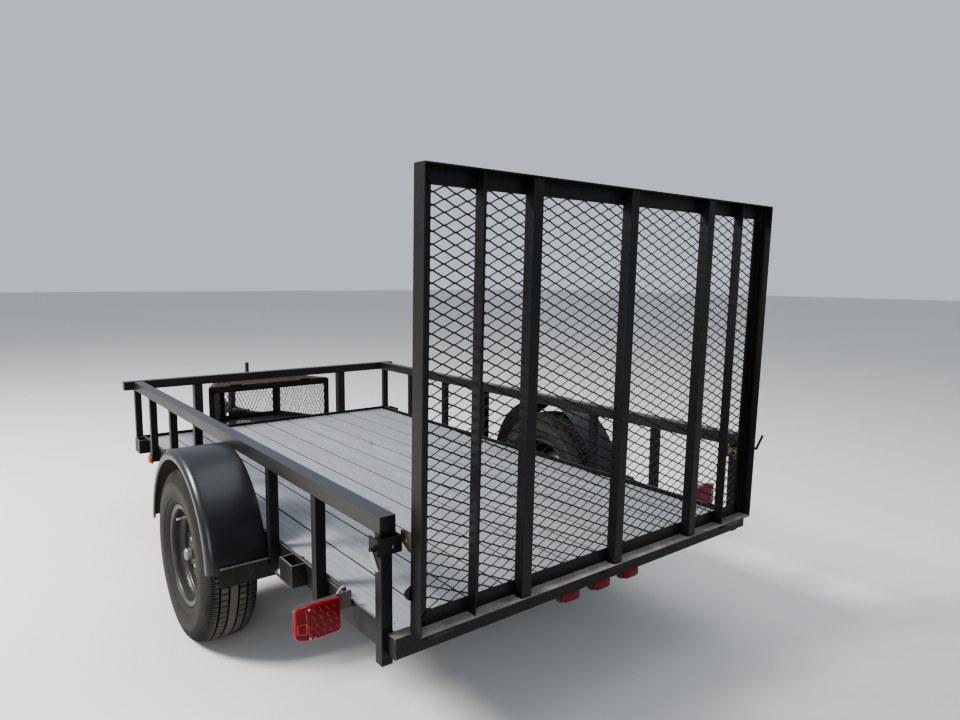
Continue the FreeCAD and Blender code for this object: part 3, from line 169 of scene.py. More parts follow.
def paint(name, base, rough, dust=0.35, rust=0.15, low=0.0, chips=0.0, seed=0.0, sand=0.0, spec=0.4, grain=0.12, inner=0.0, disc=0.0, painted_sky_reflection=0.0):
    """Satin paint over steel: dust that lies on upper faces, rust spots, scuffs; where asked, a painted sky reflection
    on upper faces, a painted ground reflection with road dirt in a fender's hollow and a painted sheen on a wheel rim's
    seat.
    """
    k = Nodes(name)
    move = (seed, seed * 0.7, seed * 0.3)
    broad = k.noise(2.6, 5.0, 0.6, k.obj(move=move))
    fine = k.noise(85.0, 6.0, 0.65)
    blot = k.noise(15.0, 9.0, 0.72, k.obj(move=move))
    up = k.span(k.split(k.tc.outputs["Normal"])[2], 0.35, 0.95)
    height = k.span(k.split(k.tc.outputs["Object"])[2], 0.62, 0.36)
    streak = k.noise(1.0, 6.0, 0.6, k.obj(scale=(38.0, 38.0, 3.0)))
    wear = k.math("ADD", k.math("MULTIPLY", broad, 0.8), k.math("MULTIPLY", fine, 0.35))
    lay = k.span(wear, 0.42, 0.78)
    mask = k.math("MULTIPLY", lay, k.math("ADD", k.math("MULTIPLY", up, 0.75), 0.35), clamp=True)
    mask = k.math("ADD", mask, k.math("MULTIPLY", k.math("MULTIPLY", height, low), k.span(streak, 0.3, 0.75)), clamp=True)
    mask = k.math("MULTIPLY", mask, dust)
    sandy = 0.0
    if disc > 0:
        pos = k.split(k.tc.outputs["Object"])
        dy, dz = k.math("SUBTRACT", pos[1], AXLE_Y), k.math("SUBTRACT", pos[2], AXLE_Z)
        rr = k.math("SQRT", k.math("ADD", k.math("MULTIPLY", dy, dy), k.math("MULTIPLY", dz, dz)))
        face = k.math("MULTIPLY", k.math("MULTIPLY", k.span(rr, 0.190, 0.184), k.span(broad, 0.2, 0.7, 0.6, 1.0)), disc)
        # blue-grey ring over the rim's bead seat: painted sheen of the rim
        painted_rim_sheen = k.math("MULTIPLY", k.math("MULTIPLY", k.span(rr, 0.184, 0.190), k.span(rr, 0.2040, 0.2020)), 0.85)
    if sand > 0:
        ledge = k.math("MULTIPLY", up, k.span(k.split(k.tc.outputs["Object"])[2], 0.53, 0.50))
        grit = k.span(k.math("ADD", k.math("MULTIPLY", broad, 0.5), k.math("MULTIPLY", blot, 0.6)), 0.36, 0.62)
        sandy = k.math("MULTIPLY", k.math("MULTIPLY", ledge, k.math("ADD", k.math("MULTIPLY", grit, 0.75), 0.25)), sand, clamp=True)
    if inner > 0:
        # the hollow side of the sheet faces the axle; the dust colour there is a painted reflection of the sandy
        # ground, with some road dirt
        pos, nor = k.split(k.tc.outputs["Object"]), k.split(k.tc.outputs["Normal"])
        face = k.math("ADD", k.math("MULTIPLY", k.math("SUBTRACT", pos[1], FEN_Y), nor[1]), k.math("MULTIPLY", k.math("SUBTRACT", pos[2], FEN_Z), nor[2]))
        under = k.math("MULTIPLY", k.span(face, -0.05, -0.25), k.span(broad, 0.25, 0.6, 0.55, 1.0))
        mask = k.math("MAXIMUM", mask, k.math("MULTIPLY", under, inner))
    tone = k.mix(k.span(fine, 0.3, 0.7), tuple(c * 0.8 for c in base), tuple(c * 1.35 for c in base))
    col = k.mix(mask, tone, k.mix(fine, tuple(c * 0.7 for c in DUST), DUST))
    if disc > 0:
        col = k.mix(face, col, k.mix(fine, (0.030, 0.028, 0.025), (0.070, 0.066, 0.058)))
        # painted sheen on the rim's bead seat
        col = k.mix(painted_rim_sheen, col, (0.034, 0.037, 0.042))
    # upward faces tinted blue: painted reflection of the sky
    if painted_sky_reflection > 0:
        col = k.mix(k.math("MULTIPLY", up, painted_sky_reflection), col, (0.030, 0.036, 0.048))
    if sand > 0:
        col = k.mix(sandy, col, k.mix(fine, (0.230, 0.215, 0.190), (0.420, 0.398, 0.360)))
    spots = k.math("MULTIPLY", k.span(blot, 0.62, 0.70), rust, clamp=True)
    runs = k.math("MULTIPLY", k.span(streak, 0.64, 0.80), rust * 0.35, clamp=True)
    spots = k.math("MAXIMUM", spots, runs)
    col = k.mix(spots, col, k.mix(fine, RUST, tuple(c * 2.2 for c in RUST)))
    scuff = k.math("MULTIPLY", k.span(k.noise(48.0, 10.0, 0.8, k.obj(move=(3.1, 1.7, 0.4))), 0.66, 0.71), chips)
    col = k.mix(scuff, col, (0.30, 0.29, 0.27))
    r = k.math("ADD", rough, k.math("MULTIPLY", mask, 0.45))
    r = k.math("ADD", r, k.math("MULTIPLY", spots, 0.4), clamp=True)
    r = k.math("ADD", r, k.math("MULTIPLY", k.math("SUBTRACT", broad, 0.5), 0.12), clamp=True)
    b = k.bump(k.math("ADD", fine, k.math("MULTIPLY", spots, 1.5)), grain, 0.0005)
    return k.set(Base_Color=col, Roughness=r, Metallic=0.0, Normal=b, Specular_IOR_Level=spec)


def metal(name, base, rough, dull=0.3, rust=0.0, scale=60.0):
    """Bare or zinc-coated steel with a spangle of tone and a few stains."""
    k = Nodes(name)
    fine = k.noise(scale, 7.0, 0.7)
    broad = k.noise(7.0, 4.0, 0.5)
    col = k.mix(k.span(fine, 0.3, 0.72), tuple(c * 0.62 for c in base), base)
    col = k.mix(k.math("MULTIPLY", k.span(broad, 0.45, 0.7), dull), col, tuple(c * 0.35 for c in base))
    spots = k.math("MULTIPLY", k.span(k.noise(26.0, 9.0, 0.75), 0.56, 0.66), rust, clamp=True)
    col = k.mix(spots, col, k.mix(fine, RUST, (0.24, 0.10, 0.04)))
    r = k.math("ADD", rough, k.math("MULTIPLY", fine, 0.2))
    r = k.math("ADD", r, k.math("MULTIPLY", spots, 0.4), clamp=True)
    m = k.math("SUBTRACT", 0.95, k.math("MULTIPLY", spots, 0.9), clamp=True)
    return k.set(Base_Color=col, Roughness=r, Metallic=m, Normal=k.bump(fine, 0.18, 0.0005))


def rusty(name, dark=(0.055, 0.03, 0.02), bright=(0.22, 0.085, 0.032), rough=0.82):
    k = Nodes(name)
    a = k.noise(30.0, 9.0, 0.75)
    b = k.noise(150.0, 6.0, 0.7)
    col = k.ramp(a, [(0.30, dark), (0.52, tuple((p + q) / 2 for p, q in zip(dark, bright))), (0.72, bright)])
    col = k.mix(k.span(b, 0.5, 0.8, 0.0, 0.45), col, (0.30, 0.17, 0.09))
    return k.set(Base_Color=col, Roughness=k.math("ADD", rough - 0.1, k.math("MULTIPLY", b, 0.2)),
                 Metallic=0.15, Normal=k.bump(k.math("ADD", a, b), 0.5, 0.0008))


def planks():
    """Weathered boards that run along Y, each with its own tone and grain."""
    k = Nodes("weathered_planks")
    xyz = k.split(k.tc.outputs["Object"])
    pitch = 0.1532
    index = k.math("FLOOR", k.math("ADD", k.math("DIVIDE", xyz[0], pitch), 5.5))
    rnd = k.tree.nodes.new("ShaderNodeTexWhiteNoise")
    rnd.noise_dimensions = "1D"
    k.link(index, rnd.inputs["W"])
    own = rnd.outputs["Value"]
    comb = k.tree.nodes.new("ShaderNodeCombineXYZ")
    k.link(k.math("ADD", k.math("MULTIPLY", xyz[0], 60.0), k.math("MULTIPLY", own, 31.0)), comb.inputs[0])
    k.link(k.math("ADD", k.math("MULTIPLY", xyz[1], 2.6), k.math("MULTIPLY", own, 17.0)), comb.inputs[1])
    k.link(k.math("MULTIPLY", xyz[2], 95.0), comb.inputs[2])
    grain = k.noise(1.0, 8.0, 0.62, comb.outputs[0], 0.9)
    comb2 = k.tree.nodes.new("ShaderNodeCombineXYZ")
    k.link(k.math("ADD", k.math("MULTIPLY", xyz[0], 420.0), k.math("MULTIPLY", own, 9.0)), comb2.inputs[0])
    k.link(k.math("MULTIPLY", xyz[1], 9.0), comb2.inputs[1])
    k.link(k.math("MULTIPLY", xyz[2], 420.0), comb2.inputs[2])
    fibre = k.noise(1.0, 4.0, 0.7, comb2.outputs[0])
    comb3 = k.tree.nodes.new("ShaderNodeCombineXYZ")
    k.link(k.math("ADD", k.math("MULTIPLY", xyz[0], 9.0), k.math("MULTIPLY", own, 40.0)), comb3.inputs[0])
    k.link(k.math("ADD", k.math("MULTIPLY", xyz[1], 2.2), k.math("MULTIPLY", own, 23.0)), comb3.inputs[1])
    knot = k.tree.nodes.new("ShaderNodeTexVoronoi")
    knot.inputs["Scale"].default_value = 1.0
    k.link(comb3.outputs[0], knot.inputs["Vector"])
    knots = k.span(knot.outputs["Distance"], 0.085, 0.045)
    ring = k.math("SINE", k.math("MULTIPLY", knot.outputs["Distance"], 150.0))
    ring = k.math("MULTIPLY", k.span(ring, -0.2, 1.0), k.span(knot.outputs["Distance"], 0.20, 0.07))
    stain = k.noise(2.1, 5.0, 0.6, k.obj(scale=(1.0, 0.45, 1.0)))
    spots = k.span(k.noise(38.0, 8.0, 0.75), 0.63, 0.70)
    col = k.ramp(grain, [(0.22, (0.150, 0.160, 0.173)), (0.46, (0.222, 0.236, 0.255)), (0.72, (0.292, 0.309, 0.332))])
    col = k.mix(k.span(fibre, 0.35, 0.8, 0.0, 0.28), col, (0.150, 0.155, 0.165))
    col = k.mix(k.math("MULTIPLY", own, 0.40), col, (0.185, 0.193, 0.206))
    col = k.mix(k.span(stain, 0.5, 0.75, 0.0, 0.26), col, (0.215, 0.190, 0.162))
    col = k.mix(k.math("MULTIPLY", ring, 0.45), col, (0.17, 0.125, 0.09))
    col = k.mix(k.math("MULTIPLY", knots, 0.85), col, (0.10, 0.065, 0.045))
    col = k.mix(k.math("MULTIPLY", spots, 0.35), col, (0.14, 0.115, 0.095))
    # the edges that face the gaps are painted near black: painted shade in the gaps between boards
    side = k.math("ABSOLUTE", k.split(k.tc.outputs["Normal"])[0])
    col = k.mix(k.span(side, 0.30, 0.80, 0.0, 0.92), col, (0.020, 0.018, 0.016))
    h = k.math("ADD", k.math("MULTIPLY", grain, 1.2), k.math("MULTIPLY", fibre, 0.5))
    h = k.math("SUBTRACT", h, k.math("MULTIPLY", knots, 0.3))
    return k.set(Base_Color=col, Roughness=k.span(grain, 0.2, 0.8, 0.92, 0.74),
                 Normal=k.bump(h, 0.42, 0.0014), Specular_IOR_Level=0.25)


def rubber(side):
    """Tyre rubber: dull black, dust on the tread, painted shade in the grooves, fine ribs near the shoulder."""
    k = Nodes("tyre_rubber_" + side)
    xyz = k.split(k.tc.outputs["Object"])
    dy = k.math("SUBTRACT", xyz[1], AXLE_Y)
    dz = k.math("SUBTRACT", xyz[2], AXLE_Z)
    r = k.math("SQRT", k.math("ADD", k.math("MULTIPLY", dy, dy), k.math("MULTIPLY", dz, dz)))
    ang = k.math("ARCTAN2", dz, dy)
    fine = k.noise(70.0, 7.0, 0.7)
    broad = k.noise(6.0, 5.0, 0.6)
    ribs = k.math("SINE", k.math("MULTIPLY", ang, 420.0))
    rings = k.math("SINE", k.math("MULTIPLY", r, 1500.0))
    shoulder = k.math("MULTIPLY", k.span(r, 0.296, 0.301), k.span(r, 0.343, 0.338))
    wall = k.math("MULTIPLY", k.span(r, 0.226, 0.231), k.span(r, 0.262, 0.257))
    dust = k.math("MULTIPLY", k.span(k.math("ADD", k.math("MULTIPLY", broad, 0.7), k.math("MULTIPLY", fine, 0.4)), 0.42, 0.75), 0.55)
    tread = k.span(r, 0.336, 0.352, 0.35, 1.0)
    ring = k.math("MULTIPLY", k.span(r, 0.262, 0.268), k.span(r, 0.292, 0.287))
    dx = k.math("ABSOLUTE", k.math("SUBTRACT", k.math("ABSOLUTE", xyz[0]), WHEEL_X))
    crown = k.math("MULTIPLY", k.math("POWER", k.math("DIVIDE", dx, 0.079), 2.4), 0.0062)
    deep = k.math("SUBTRACT", k.math("SUBTRACT", 0.3530, crown), r)
    face = k.math("MULTIPLY", k.span(deep, 0.0026, 0.0008), k.span(dx, 0.084, 0.080))
    face = k.math("MULTIPLY", face, k.span(broad, 0.25, 0.65, 0.55, 1.0))
    painted_groove_shade = k.math("MULTIPLY", k.span(deep, 0.0022, 0.0045), k.span(dx, 0.084, 0.080))
    col = k.mix(k.math("MULTIPLY", dust, tread), k.mix(fine, (0.0085, 0.0085, 0.009), (0.020, 0.0195, 0.019)), (0.100, 0.082, 0.062))
    col = k.mix(k.math("MULTIPLY", k.math("MULTIPLY", k.span(ribs, -0.2, 0.7), shoulder), 0.45), col, (0.006, 0.006, 0.006))
    col = k.mix(k.math("MULTIPLY", ring, 0.10), col, (0.10, 0.09, 0.08))
    middle = k.span(dx, 0.020, 0.014, 0.62, 1.0)
    col = k.mix(k.math("MULTIPLY", face, k.math("MULTIPLY", middle, k.span(dx, 0.062, 0.052, 0.25, 0.58))), col, k.mix(fine, (0.085, 0.078, 0.066), (0.175, 0.160, 0.136)))
    # grooves near black: painted shade in the grooves
    col = k.mix(painted_groove_shade, col, (0.0045, 0.0042, 0.004))
    h = k.math("ADD", k.math("MULTIPLY", k.math("MULTIPLY", ribs, shoulder), 1.2), k.math("MULTIPLY", k.math("MULTIPLY", rings, wall), 0.35))
    h = k.math("ADD", h, k.math("MULTIPLY", fine, 0.4))
    return k.set(Base_Color=col, Roughness=k.span(fine, 0.2, 0.8, 0.62, 0.85),
                 Normal=k.bump(h, 0.6, 0.0016), Specular_IOR_Level=0.28)


def lens(name, colour, deep):
    """Moulded lens: clear skin over ribbed colour, a little dusty."""
    k = Nodes(name)
    fine = k.noise(55.0, 6.0, 0.65)
    xyz = k.split(k.tc.outputs["Object"])
    a = k.math("SINE", k.math("MULTIPLY", k.math("ADD", xyz[0], xyz[2]), 620.0))
    b = k.math("SINE", k.math("MULTIPLY", k.math("SUBTRACT", xyz[0], xyz[2]), 620.0))
    facets = k.math("MULTIPLY", a, b)
    col = k.mix(k.span(facets, -0.7, 0.9), deep, colour)
    col = k.mix(k.span(fine, 0.66, 0.90, 0.0, 0.06), col, (0.22, 0.16, 0.13))
    return k.set(Base_Color=col, Roughness=k.span(fine, 0.3, 0.75, 0.22, 0.40),
                 Normal=k.bump(facets, 0.16, 0.0006), Coat_Weight=0.08, Coat_Roughness=0.10, Specular_IOR_Level=0.22)


BLACK = (0.0065, 0.0065, 0.0072)
M = {
    "frame": paint("frame_black", BLACK, 0.44, dust=0.13, rust=0.26, low=0.11, chips=0.25, sand=0.30, spec=0.24),
    # rail: painted sky reflection on the upper faces
    "rail": paint("rail_black", BLACK, 0.36, dust=0.10, rust=0.06, low=0.05, chips=0.35, seed=2.0, painted_sky_reflection=0.65),
    "gate": paint("gate_black", (0.0056, 0.0058, 0.0066), 0.38, dust=0.11, rust=0.12, low=0.75, chips=0.3, seed=5.0, sand=1.15, spec=0.26),
    "mesh": paint("mesh_black", (0.0055, 0.0055, 0.0060), 0.34, dust=0.10, rust=0.06, low=0.05, seed=7.0, spec=0.5),
    # fender: painted reflection of the ground on the hollow side, with road dirt, and painted sky reflection on the
    # upper faces
    "fender": paint("fender_black", (0.0062, 0.0070, 0.0092), 0.30, dust=0.045, rust=0.012, low=0.02, chips=0.12, seed=9.0, spec=0.5, grain=0.03, inner=0.42, painted_sky_reflection=0.25),
    "under": paint("running_gear_black", (0.012, 0.011, 0.010), 0.62, dust=0.55, rust=0.75, low=0.6, seed=4.0),
    "wheel": paint("wheel_black", (0.0070, 0.0070, 0.0078), 0.36, dust=0.13, rust=0.04, low=0.05, seed=11.0, spec=0.35, grain=0.05, disc=0.80),
    "latch": paint("latch_black", BLACK, 0.48, dust=0.05, rust=0.10, low=0.0, chips=0.2, seed=19.0, spec=0.22),
    "jack": paint("jack_black", BLACK, 0.36, dust=0.2, rust=0.2, low=0.2, chips=0.3, seed=13.0),
    "zinc": metal("zinc_plate", (0.56, 0.56, 0.55), 0.36, dull=0.45, rust=0.10),
    "cast": metal("hub_iron", (0.22, 0.21, 0.20), 0.5, dull=0.5, rust=0.45),
    "cap": metal("dust_cap_steel", (0.30, 0.295, 0.285), 0.33, dull=0.6, rust=0.16, scale=95.0),
    "rust": rusty("rusty_plate", (0.030, 0.022, 0.017), (0.115, 0.080, 0.052)),
    "lid": rusty("brown_rusty_mesh", (0.018, 0.012, 0.010), (0.060, 0.036, 0.026)),
    "wood": planks(),
    "tyre_left": rubber("left"),
    "tyre_right": rubber("right"),
    "red": lens("red_lens", (0.200, 0.0008, 0.0052), (0.034, 0.0002, 0.0012)),
    # painted highlight for the bright edge of the tail-light lens
    "rim_red_highlight": lens("red_lens_rim_painted_highlight", (0.40, 0.0025, 0.0130), (0.22, 0.0010, 0.0055)),
    # painted glints on the tail-light lens facets
    "glint": lens("red_lens_painted_glints", (0.60, 0.120, 0.130), (0.36, 0.040, 0.055)),
    "amber": lens("amber_lens", (0.50, 0.085, 0.008), (0.26, 0.035, 0.004)),
    "lamp": paint("lamp_grey_plastic", (0.040, 0.044, 0.047), 0.42, dust=0.06, rust=0.0, seed=16.0),
    "housing": paint("lamp_housing_black", (0.014, 0.014, 0.015), 0.46, dust=0.25, rust=0.0, seed=6.0),
    "weld": metal("painted_weld", (0.018, 0.0175, 0.017), 0.42, dull=0.3, rust=0.18, scale=220.0),
    # painted highlights along lit edges, with worn paint
    "edge_highlight_and_wear": paint("painted_edge_highlight_and_wear", (0.085, 0.083, 0.079), 0.45, dust=0.25, rust=0.2, seed=17.0),
    # black loom: wiring, and a painted shadow of the frame's upright on the boards
    "loom_and_painted_shadow": paint("wiring_loom_black_painted_shadow", (0.008, 0.008, 0.008), 0.55, dust=0.2, rust=0.0, seed=8.0),
    "stem": paint("valve_stem_bright", (0.42, 0.42, 0.41), 0.4, dust=0.1, rust=0.0, seed=21.0),
    "post": paint("post_black", BLACK, 0.42, dust=0.09, rust=0.10, low=0.05, chips=0.3, seed=23.0, spec=0.20),
    "bracket": paint("bracket_dusty", (0.075, 0.070, 0.064), 0.55, dust=0.35, rust=0.35, seed=25.0),
    "wire": paint("pale_wire", (0.42, 0.39, 0.32), 0.5, dust=0.2, rust=0.0, seed=3.0),
}


# ------------------------------------------------------------ mesh helpers
class Geo:
    """Gathers vertices and faces of like small parts into one object."""

    def __init__(self):
        self.v, self.f = [], []

    def add(self, verts, faces):
        n = len(self.v)
        self.v.extend(Vector(p) for p in verts)
        self.f.extend([i + n for i in face] for face in faces)

    def box(self, lo, hi, turn=None):
        (a, b, c), (d, e, f) = lo, hi
        p = [(a, b, c), (d, b, c), (d, e, c), (a, e, c), (a, b, f), (d, b, f), (d, e, f), (a, e, f)]
        if turn is not None:
            p = [turn @ Vector(q) for q in p]
        self.add(p, [(0, 3, 2, 1), (4, 5, 6, 7), (0, 1, 5, 4), (1, 2, 6, 5), (2, 3, 7, 6), (3, 0, 4, 7)])

    def loft(self, rings, closed=True, caps=True):
        """Rings of equal length joined in order."""
        n = len(rings[0])
        verts = [p for ring in rings for p in ring]
        faces = []
        for i in range(len(rings) - 1):
            for j in range(n if closed else n - 1):
                a, b = i * n + j, i * n + (j + 1) % n
                faces.append((a, b, b + n, a + n))
        if caps and closed:
            faces.append(tuple(reversed(range(n))))
            faces.append(tuple(range((len(rings) - 1) * n, len(rings) * n)))
        self.add(verts, faces)

    def tube(self, points, radius, seg=10, caps=True):
        pts = [Vector(p) for p in points]
        radii = radius if isinstance(radius, (list, tuple)) else [radius] * len(pts)
        rings = []
        last = None
        for i, p in enumerate(pts):
            d = (pts[min(i + 1, len(pts) - 1)] - pts[max(i - 1, 0)]).normalized()
            if last is None:
                u = d.orthogonal().normalized()
            else:
                u = (last - d * last.dot(d)).normalized()
            last = u
            w = d.cross(u)
            rings.append([p + (u * math.cos(2 * math.pi * j / seg) + w * math.sin(2 * math.pi * j / seg)) * radii[i]
                          for j in range(seg)])
        self.loft(rings, True, caps)

    def disc_run(self, centre, axis, stations, seg=16, start=0.0):
        """Turned part: stations are (along the axis, radius)."""
        axis = Vector(axis).normalized()
        u = axis.orthogonal().normalized()
        w = axis.cross(u)
        c = Vector(centre)
        rings = [[c + axis * s + (u * math.cos(start + 2 * math.pi * j / seg) + w * math.sin(start + 2 * math.pi * j / seg)) * max(r, 1e-5)
                  for j in range(seg)] for s, r in stations]
        self.loft(rings, True, True)

    def bolt(self, centre, axis, af=0.015, tall=0.008, washer=True, start=0.3):
        """Hex head on a round washer; centre lies on the surface."""
        r = af / math.sqrt(3)
        if washer:
            self.disc_run(centre, axis, [(0.0, r * 1.35), (0.0016, r * 1.35), (0.002, r * 1.25)], 20)
        z = 0.002 if washer else 0.0
        self.disc_run(centre, axis, [(z, r), (z + tall * 0.82, r), (z + tall, r * 0.84)], 6, start)

    def bead(self, a, b, r=0.0035, step=0.0045):
        """Weld bead from a to b with a rippled back."""
        a, b = Vector(a), Vector(b)
        n = max(3, int((b - a).length / step))
        pts, rad = [], []
        for i in range(n * 2 + 1):
            t = i / (n * 2)
            pts.append(a.lerp(b, t))
            rad.append(r * (0.55 if i in (0, n * 2) else (1.0 if i % 2 else 0.8) * (1.0 + 0.10 * math.sin(i * 2.3))))
        self.tube(pts, rad, 6)

    def make(self, name, mat, body, smooth=35.0, bevel=0.0, seg=2, slot=None, replaces=(), turn=None):
        mesh = bpy.data.meshes.new(name)
        bm = bmesh.new()
        vs = [bm.verts.new(turn @ p if turn is not None else p) for p in self.v]
        bm.verts.index_update()
        for f in self.f:
            try:
                bm.faces.new([vs[i] for i in f])
            except ValueError:
                pass
        bmesh.ops.recalc_face_normals(bm, faces=bm.faces)
        for face in bm.faces:
            face.smooth = True
        lim = math.radians(smooth)
        for e in bm.edges:
            e.smooth = not (len(e.link_faces) == 2 and e.calc_face_angle(0.0) > lim)
        bm.to_mesh(mesh)
        bm.free()
        obj = bpy.data.objects.new(name, mesh)
        bpy.context.scene.collection.objects.link(obj)
        mesh.materials.append(mat)
        if bevel > 0:
            m = obj.modifiers.new("edge", "BEVEL")
            m.width, m.segments, m.limit_method, m.angle_limit = bevel, seg, "ANGLE", math.radians(32)
            m.harden_normals = False
            w = obj.modifiers.new("normals", "WEIGHTED_NORMAL")
            w.keep_sharp = False
        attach(obj, body)
        if replaces:
            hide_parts(*replaces)
        return obj


def body_of(node):
    for name, nodes in frame["record"]["behaviour"]["bodies"].items():
        if node in nodes:
            return name
    return "chassis"


# ------------------------------------------------------- finish the frame
LOOK = {
    "frame_rails": "frame", "front_member": "frame", "rear_member": "frame", "crossmembers": "under",
    "top_rails": "rail", "top_rail_front": "rail", "posts_left": "post", "posts_right": "post",
    "posts_front": "rail", "pockets_left": "frame", "pockets_right": "frame", "fender_brackets": "frame",
    "tongue": "frame", "coupler": "jack", "coupler_lever": "zinc", "jack_tube": "jack", "jack_crank": "zinc",
    "jack_leg": "zinc", "basket_frame": "frame", "basket_hinges": "frame", "basket_lid_hinges": "frame",
    "basket_lid": "lid", "gate_frame": "gate", "gate_uprights": "gate", "gate_hinges": "gate",
    "gate_strikes": "rust", "hinge_lugs": "frame", "latches": "latch", "light_brackets": "bracket",
    "light_bar": "frame", "axle": "under", "leaf_springs": "under", "spring_mounts": "under",
    "rim_left": "wheel", "rim_right": "wheel", "hub_left": "cast", "hub_right": "cast",
    "deck_boards": "wood", "side_markers": "housing", "tail_lights": "housing",
}
SOFT_EDGE = {"deck_boards": 0.003, "gate_strikes": 0.001, "rim_left": 0.0, "rim_right": 0.0,
             "hub_left": 0.0, "hub_right": 0.0, "jack_tube": 0.001, "jack_leg": 0.001, "coupler": 0.0015}
for node, obj in frame["nodes"].items():
    key = LOOK.get(node, "frame")
    if not obj.material_slots:
        obj.data.materials.append(M[key])
    for s in obj.material_slots:
        s.link = "OBJECT"
        s.material = M[key]
    wide = SOFT_EDGE.get(node, 0.0012)
    w = obj.modifiers.new("join", "WELD")
    w.merge_threshold = 0.00002
    if wide > 0:
        m = obj.modifiers.new("edge", "BEVEL")
        m.width, m.segments, m.limit_method, m.angle_limit = wide, 2, "ANGLE", math.radians(38)
    n = obj.modifiers.new("normals", "WEIGHTED_NORMAL")
    n.keep_sharp = False


# ---------------------------------------------------------- expanded mesh
def strand(geo, origin, along, across, out, u0, u1, v, side, long_way, short_way, wide, thick, tilt):
    """One zigzag strand of raised expanded metal."""
    half = long_way / 2
    flat = 0.035 * long_way
    amp = short_way / 4 - wide * 0.06
    knots = []
    k0, k1 = int(math.floor(u0 / half)) - 1, int(math.ceil(u1 / half)) + 1
    for k in range(k0, k1 + 1):
        s = side if k % 2 == 0 else -side
        knots.append((k * half - flat, s * amp))
        knots.append((k * half + flat, s * amp))
    pts = []
    for (ua, va), (ub, vb) in zip(knots, knots[1:]):
        if ub <= u0 or ua >= u1:
            continue
        for uu in (max(ua, u0), min(ub, u1)):
            t = (uu - ua) / (ub - ua) if ub > ua else 0.0
            q = (uu, va + (vb - va) * t)
            if not pts or abs(pts[-1][0] - q[0]) > 1e-6:
                pts.append(q)
    if len(pts) < 2:
        return
    c, s_ = math.cos(tilt), math.sin(tilt)
    corners = []
    for a, b in ((-1, -1), (1, -1), (1, 1), (-1, 1)):
        dv, dn = a * wide / 2, b * thick / 2
        corners.append((dv * c - dn * s_, dv * s_ + dn * c))
    rings = [[origin + along * uu + across * (v + vv + dv) + out * dn for dv, dn in corners] for uu, vv in pts]
    geo.loft(rings)


def upright(geo, origin, along, out, length, tall, long_way, short_way, wide, thick, tilt=0.6):
    """A wall of expanded metal whose strands run up and down."""
    origin, along, out = Vector(origin), Vector(along).normalized(), Vector(out)
    rows = int(length / (short_way / 2))
    gap = length / rows
    for j in range(rows):
        strand(geo, origin, Z, along, out, 0.0, tall, (j + 0.5) * gap, 1 if j % 2 else -1, long_way, gap * 2, wide, thick, tilt)


def expanded(geo, origin, along, across, out, width_at, tall, long_way, short_way, wide, thick, tilt=0.6):
    """Rows of strands; width_at(v) gives the two ends of a row."""
    origin, along, across, out = (Vector(q) for q in (origin, along, across, out))
    rows = int(tall / (short_way / 2))
    gap = tall / rows
    for j in range(rows):
        v = (j + 0.5) * gap
        u0, u1 = width_at(v)
        strand(geo, origin, along, across, out, u0, u1, v, 1 if j % 2 else -1, long_way, gap * 2, wide, thick, tilt)


X, Y, Z = Vector((1, 0, 0)), Vector((0, 1, 0)), Vector((0, 0, 1))
gate_mesh = Geo()
expanded(gate_mesh, (0, YS - 0.0040, GATE_Z + 0.016), X, Z, Y, lambda v: (-0.806, 0.806), 1.275 - 0.032,
         0.0762, 0.0339, 0.0045, 0.0030, 0.86)
gate_mesh.make("gate_expanded_mesh", M["mesh"], "gate", smooth=20, slot="gate_paint", replaces=("gate_mesh",), turn=LEAN)

basket = Geo()
LW, SW_, SWIDE, STHICK = 0.0508, 0.0235, 0.0028, 0.0016
tall = B_TOP - B_LOW - 0.010
upright(basket, (-B_HALF + 0.006, B_REAR - 0.0045, B_LOW + 0.005), X, Y, 2 * B_HALF - 0.012, tall, LW, SW_, SWIDE, STHICK)
upright(basket, (-B_NOSE + 0.006, B_FRONT + 0.0045, B_LOW + 0.005), X, Y, 2 * B_NOSE - 0.012, tall, LW, SW_, SWIDE, STHICK)
for s in (1, -1):
    a = Vector((s * B_HALF, B_REAR, 0))
    b = Vector((s * B_NOSE, B_FRONT, 0))
    d = (b - a).normalized()
    side_out = Vector((-d.y, d.x, 0)) * s
    inn = -side_out if side_out.x * s > 0 else side_out
    o = a + inn * 0.0045 + d * 0.006 + Z * (B_LOW + 0.005)
    upright(basket, o, d, inn, (b - a).length - 0.012, tall, LW, SW_, SWIDE, STHICK)


def half_at(v, gap):
    """Half width of the basket at v metres ahead of its rear face."""
    return B_HALF + (B_NOSE - B_HALF) * v / (B_REAR - B_FRONT) - gap


expanded(basket, (0, B_REAR, B_LOW + 0.0055), X, -Y, Z, lambda v: (-half_at(v, 0.008), half_at(v, 0.008)), B_REAR - B_FRONT, LW, SW_, SWIDE, STHICK)
basket.make("basket_expanded_mesh", M["mesh"], "chassis", smooth=20, slot="basket_rust", replaces=("basket_mesh",))
lid = Geo()
depth = B_REAR - B_FRONT - 0.024
expanded(lid, (0, B_REAR - 0.014, B_TOP + 0.0025), X, -Y, Z,
         lambda v: (-half_at(v + 0.014, 0.016), half_at(v + 0.014, 0.016)), depth, LW, SW_, 0.0042, 0.0015, 0.35)
lid.make("basket_lid_expanded_mesh", M["lid"], "lid", smooth=20, slot="basket_rust", replaces=("basket_lid_mesh",))


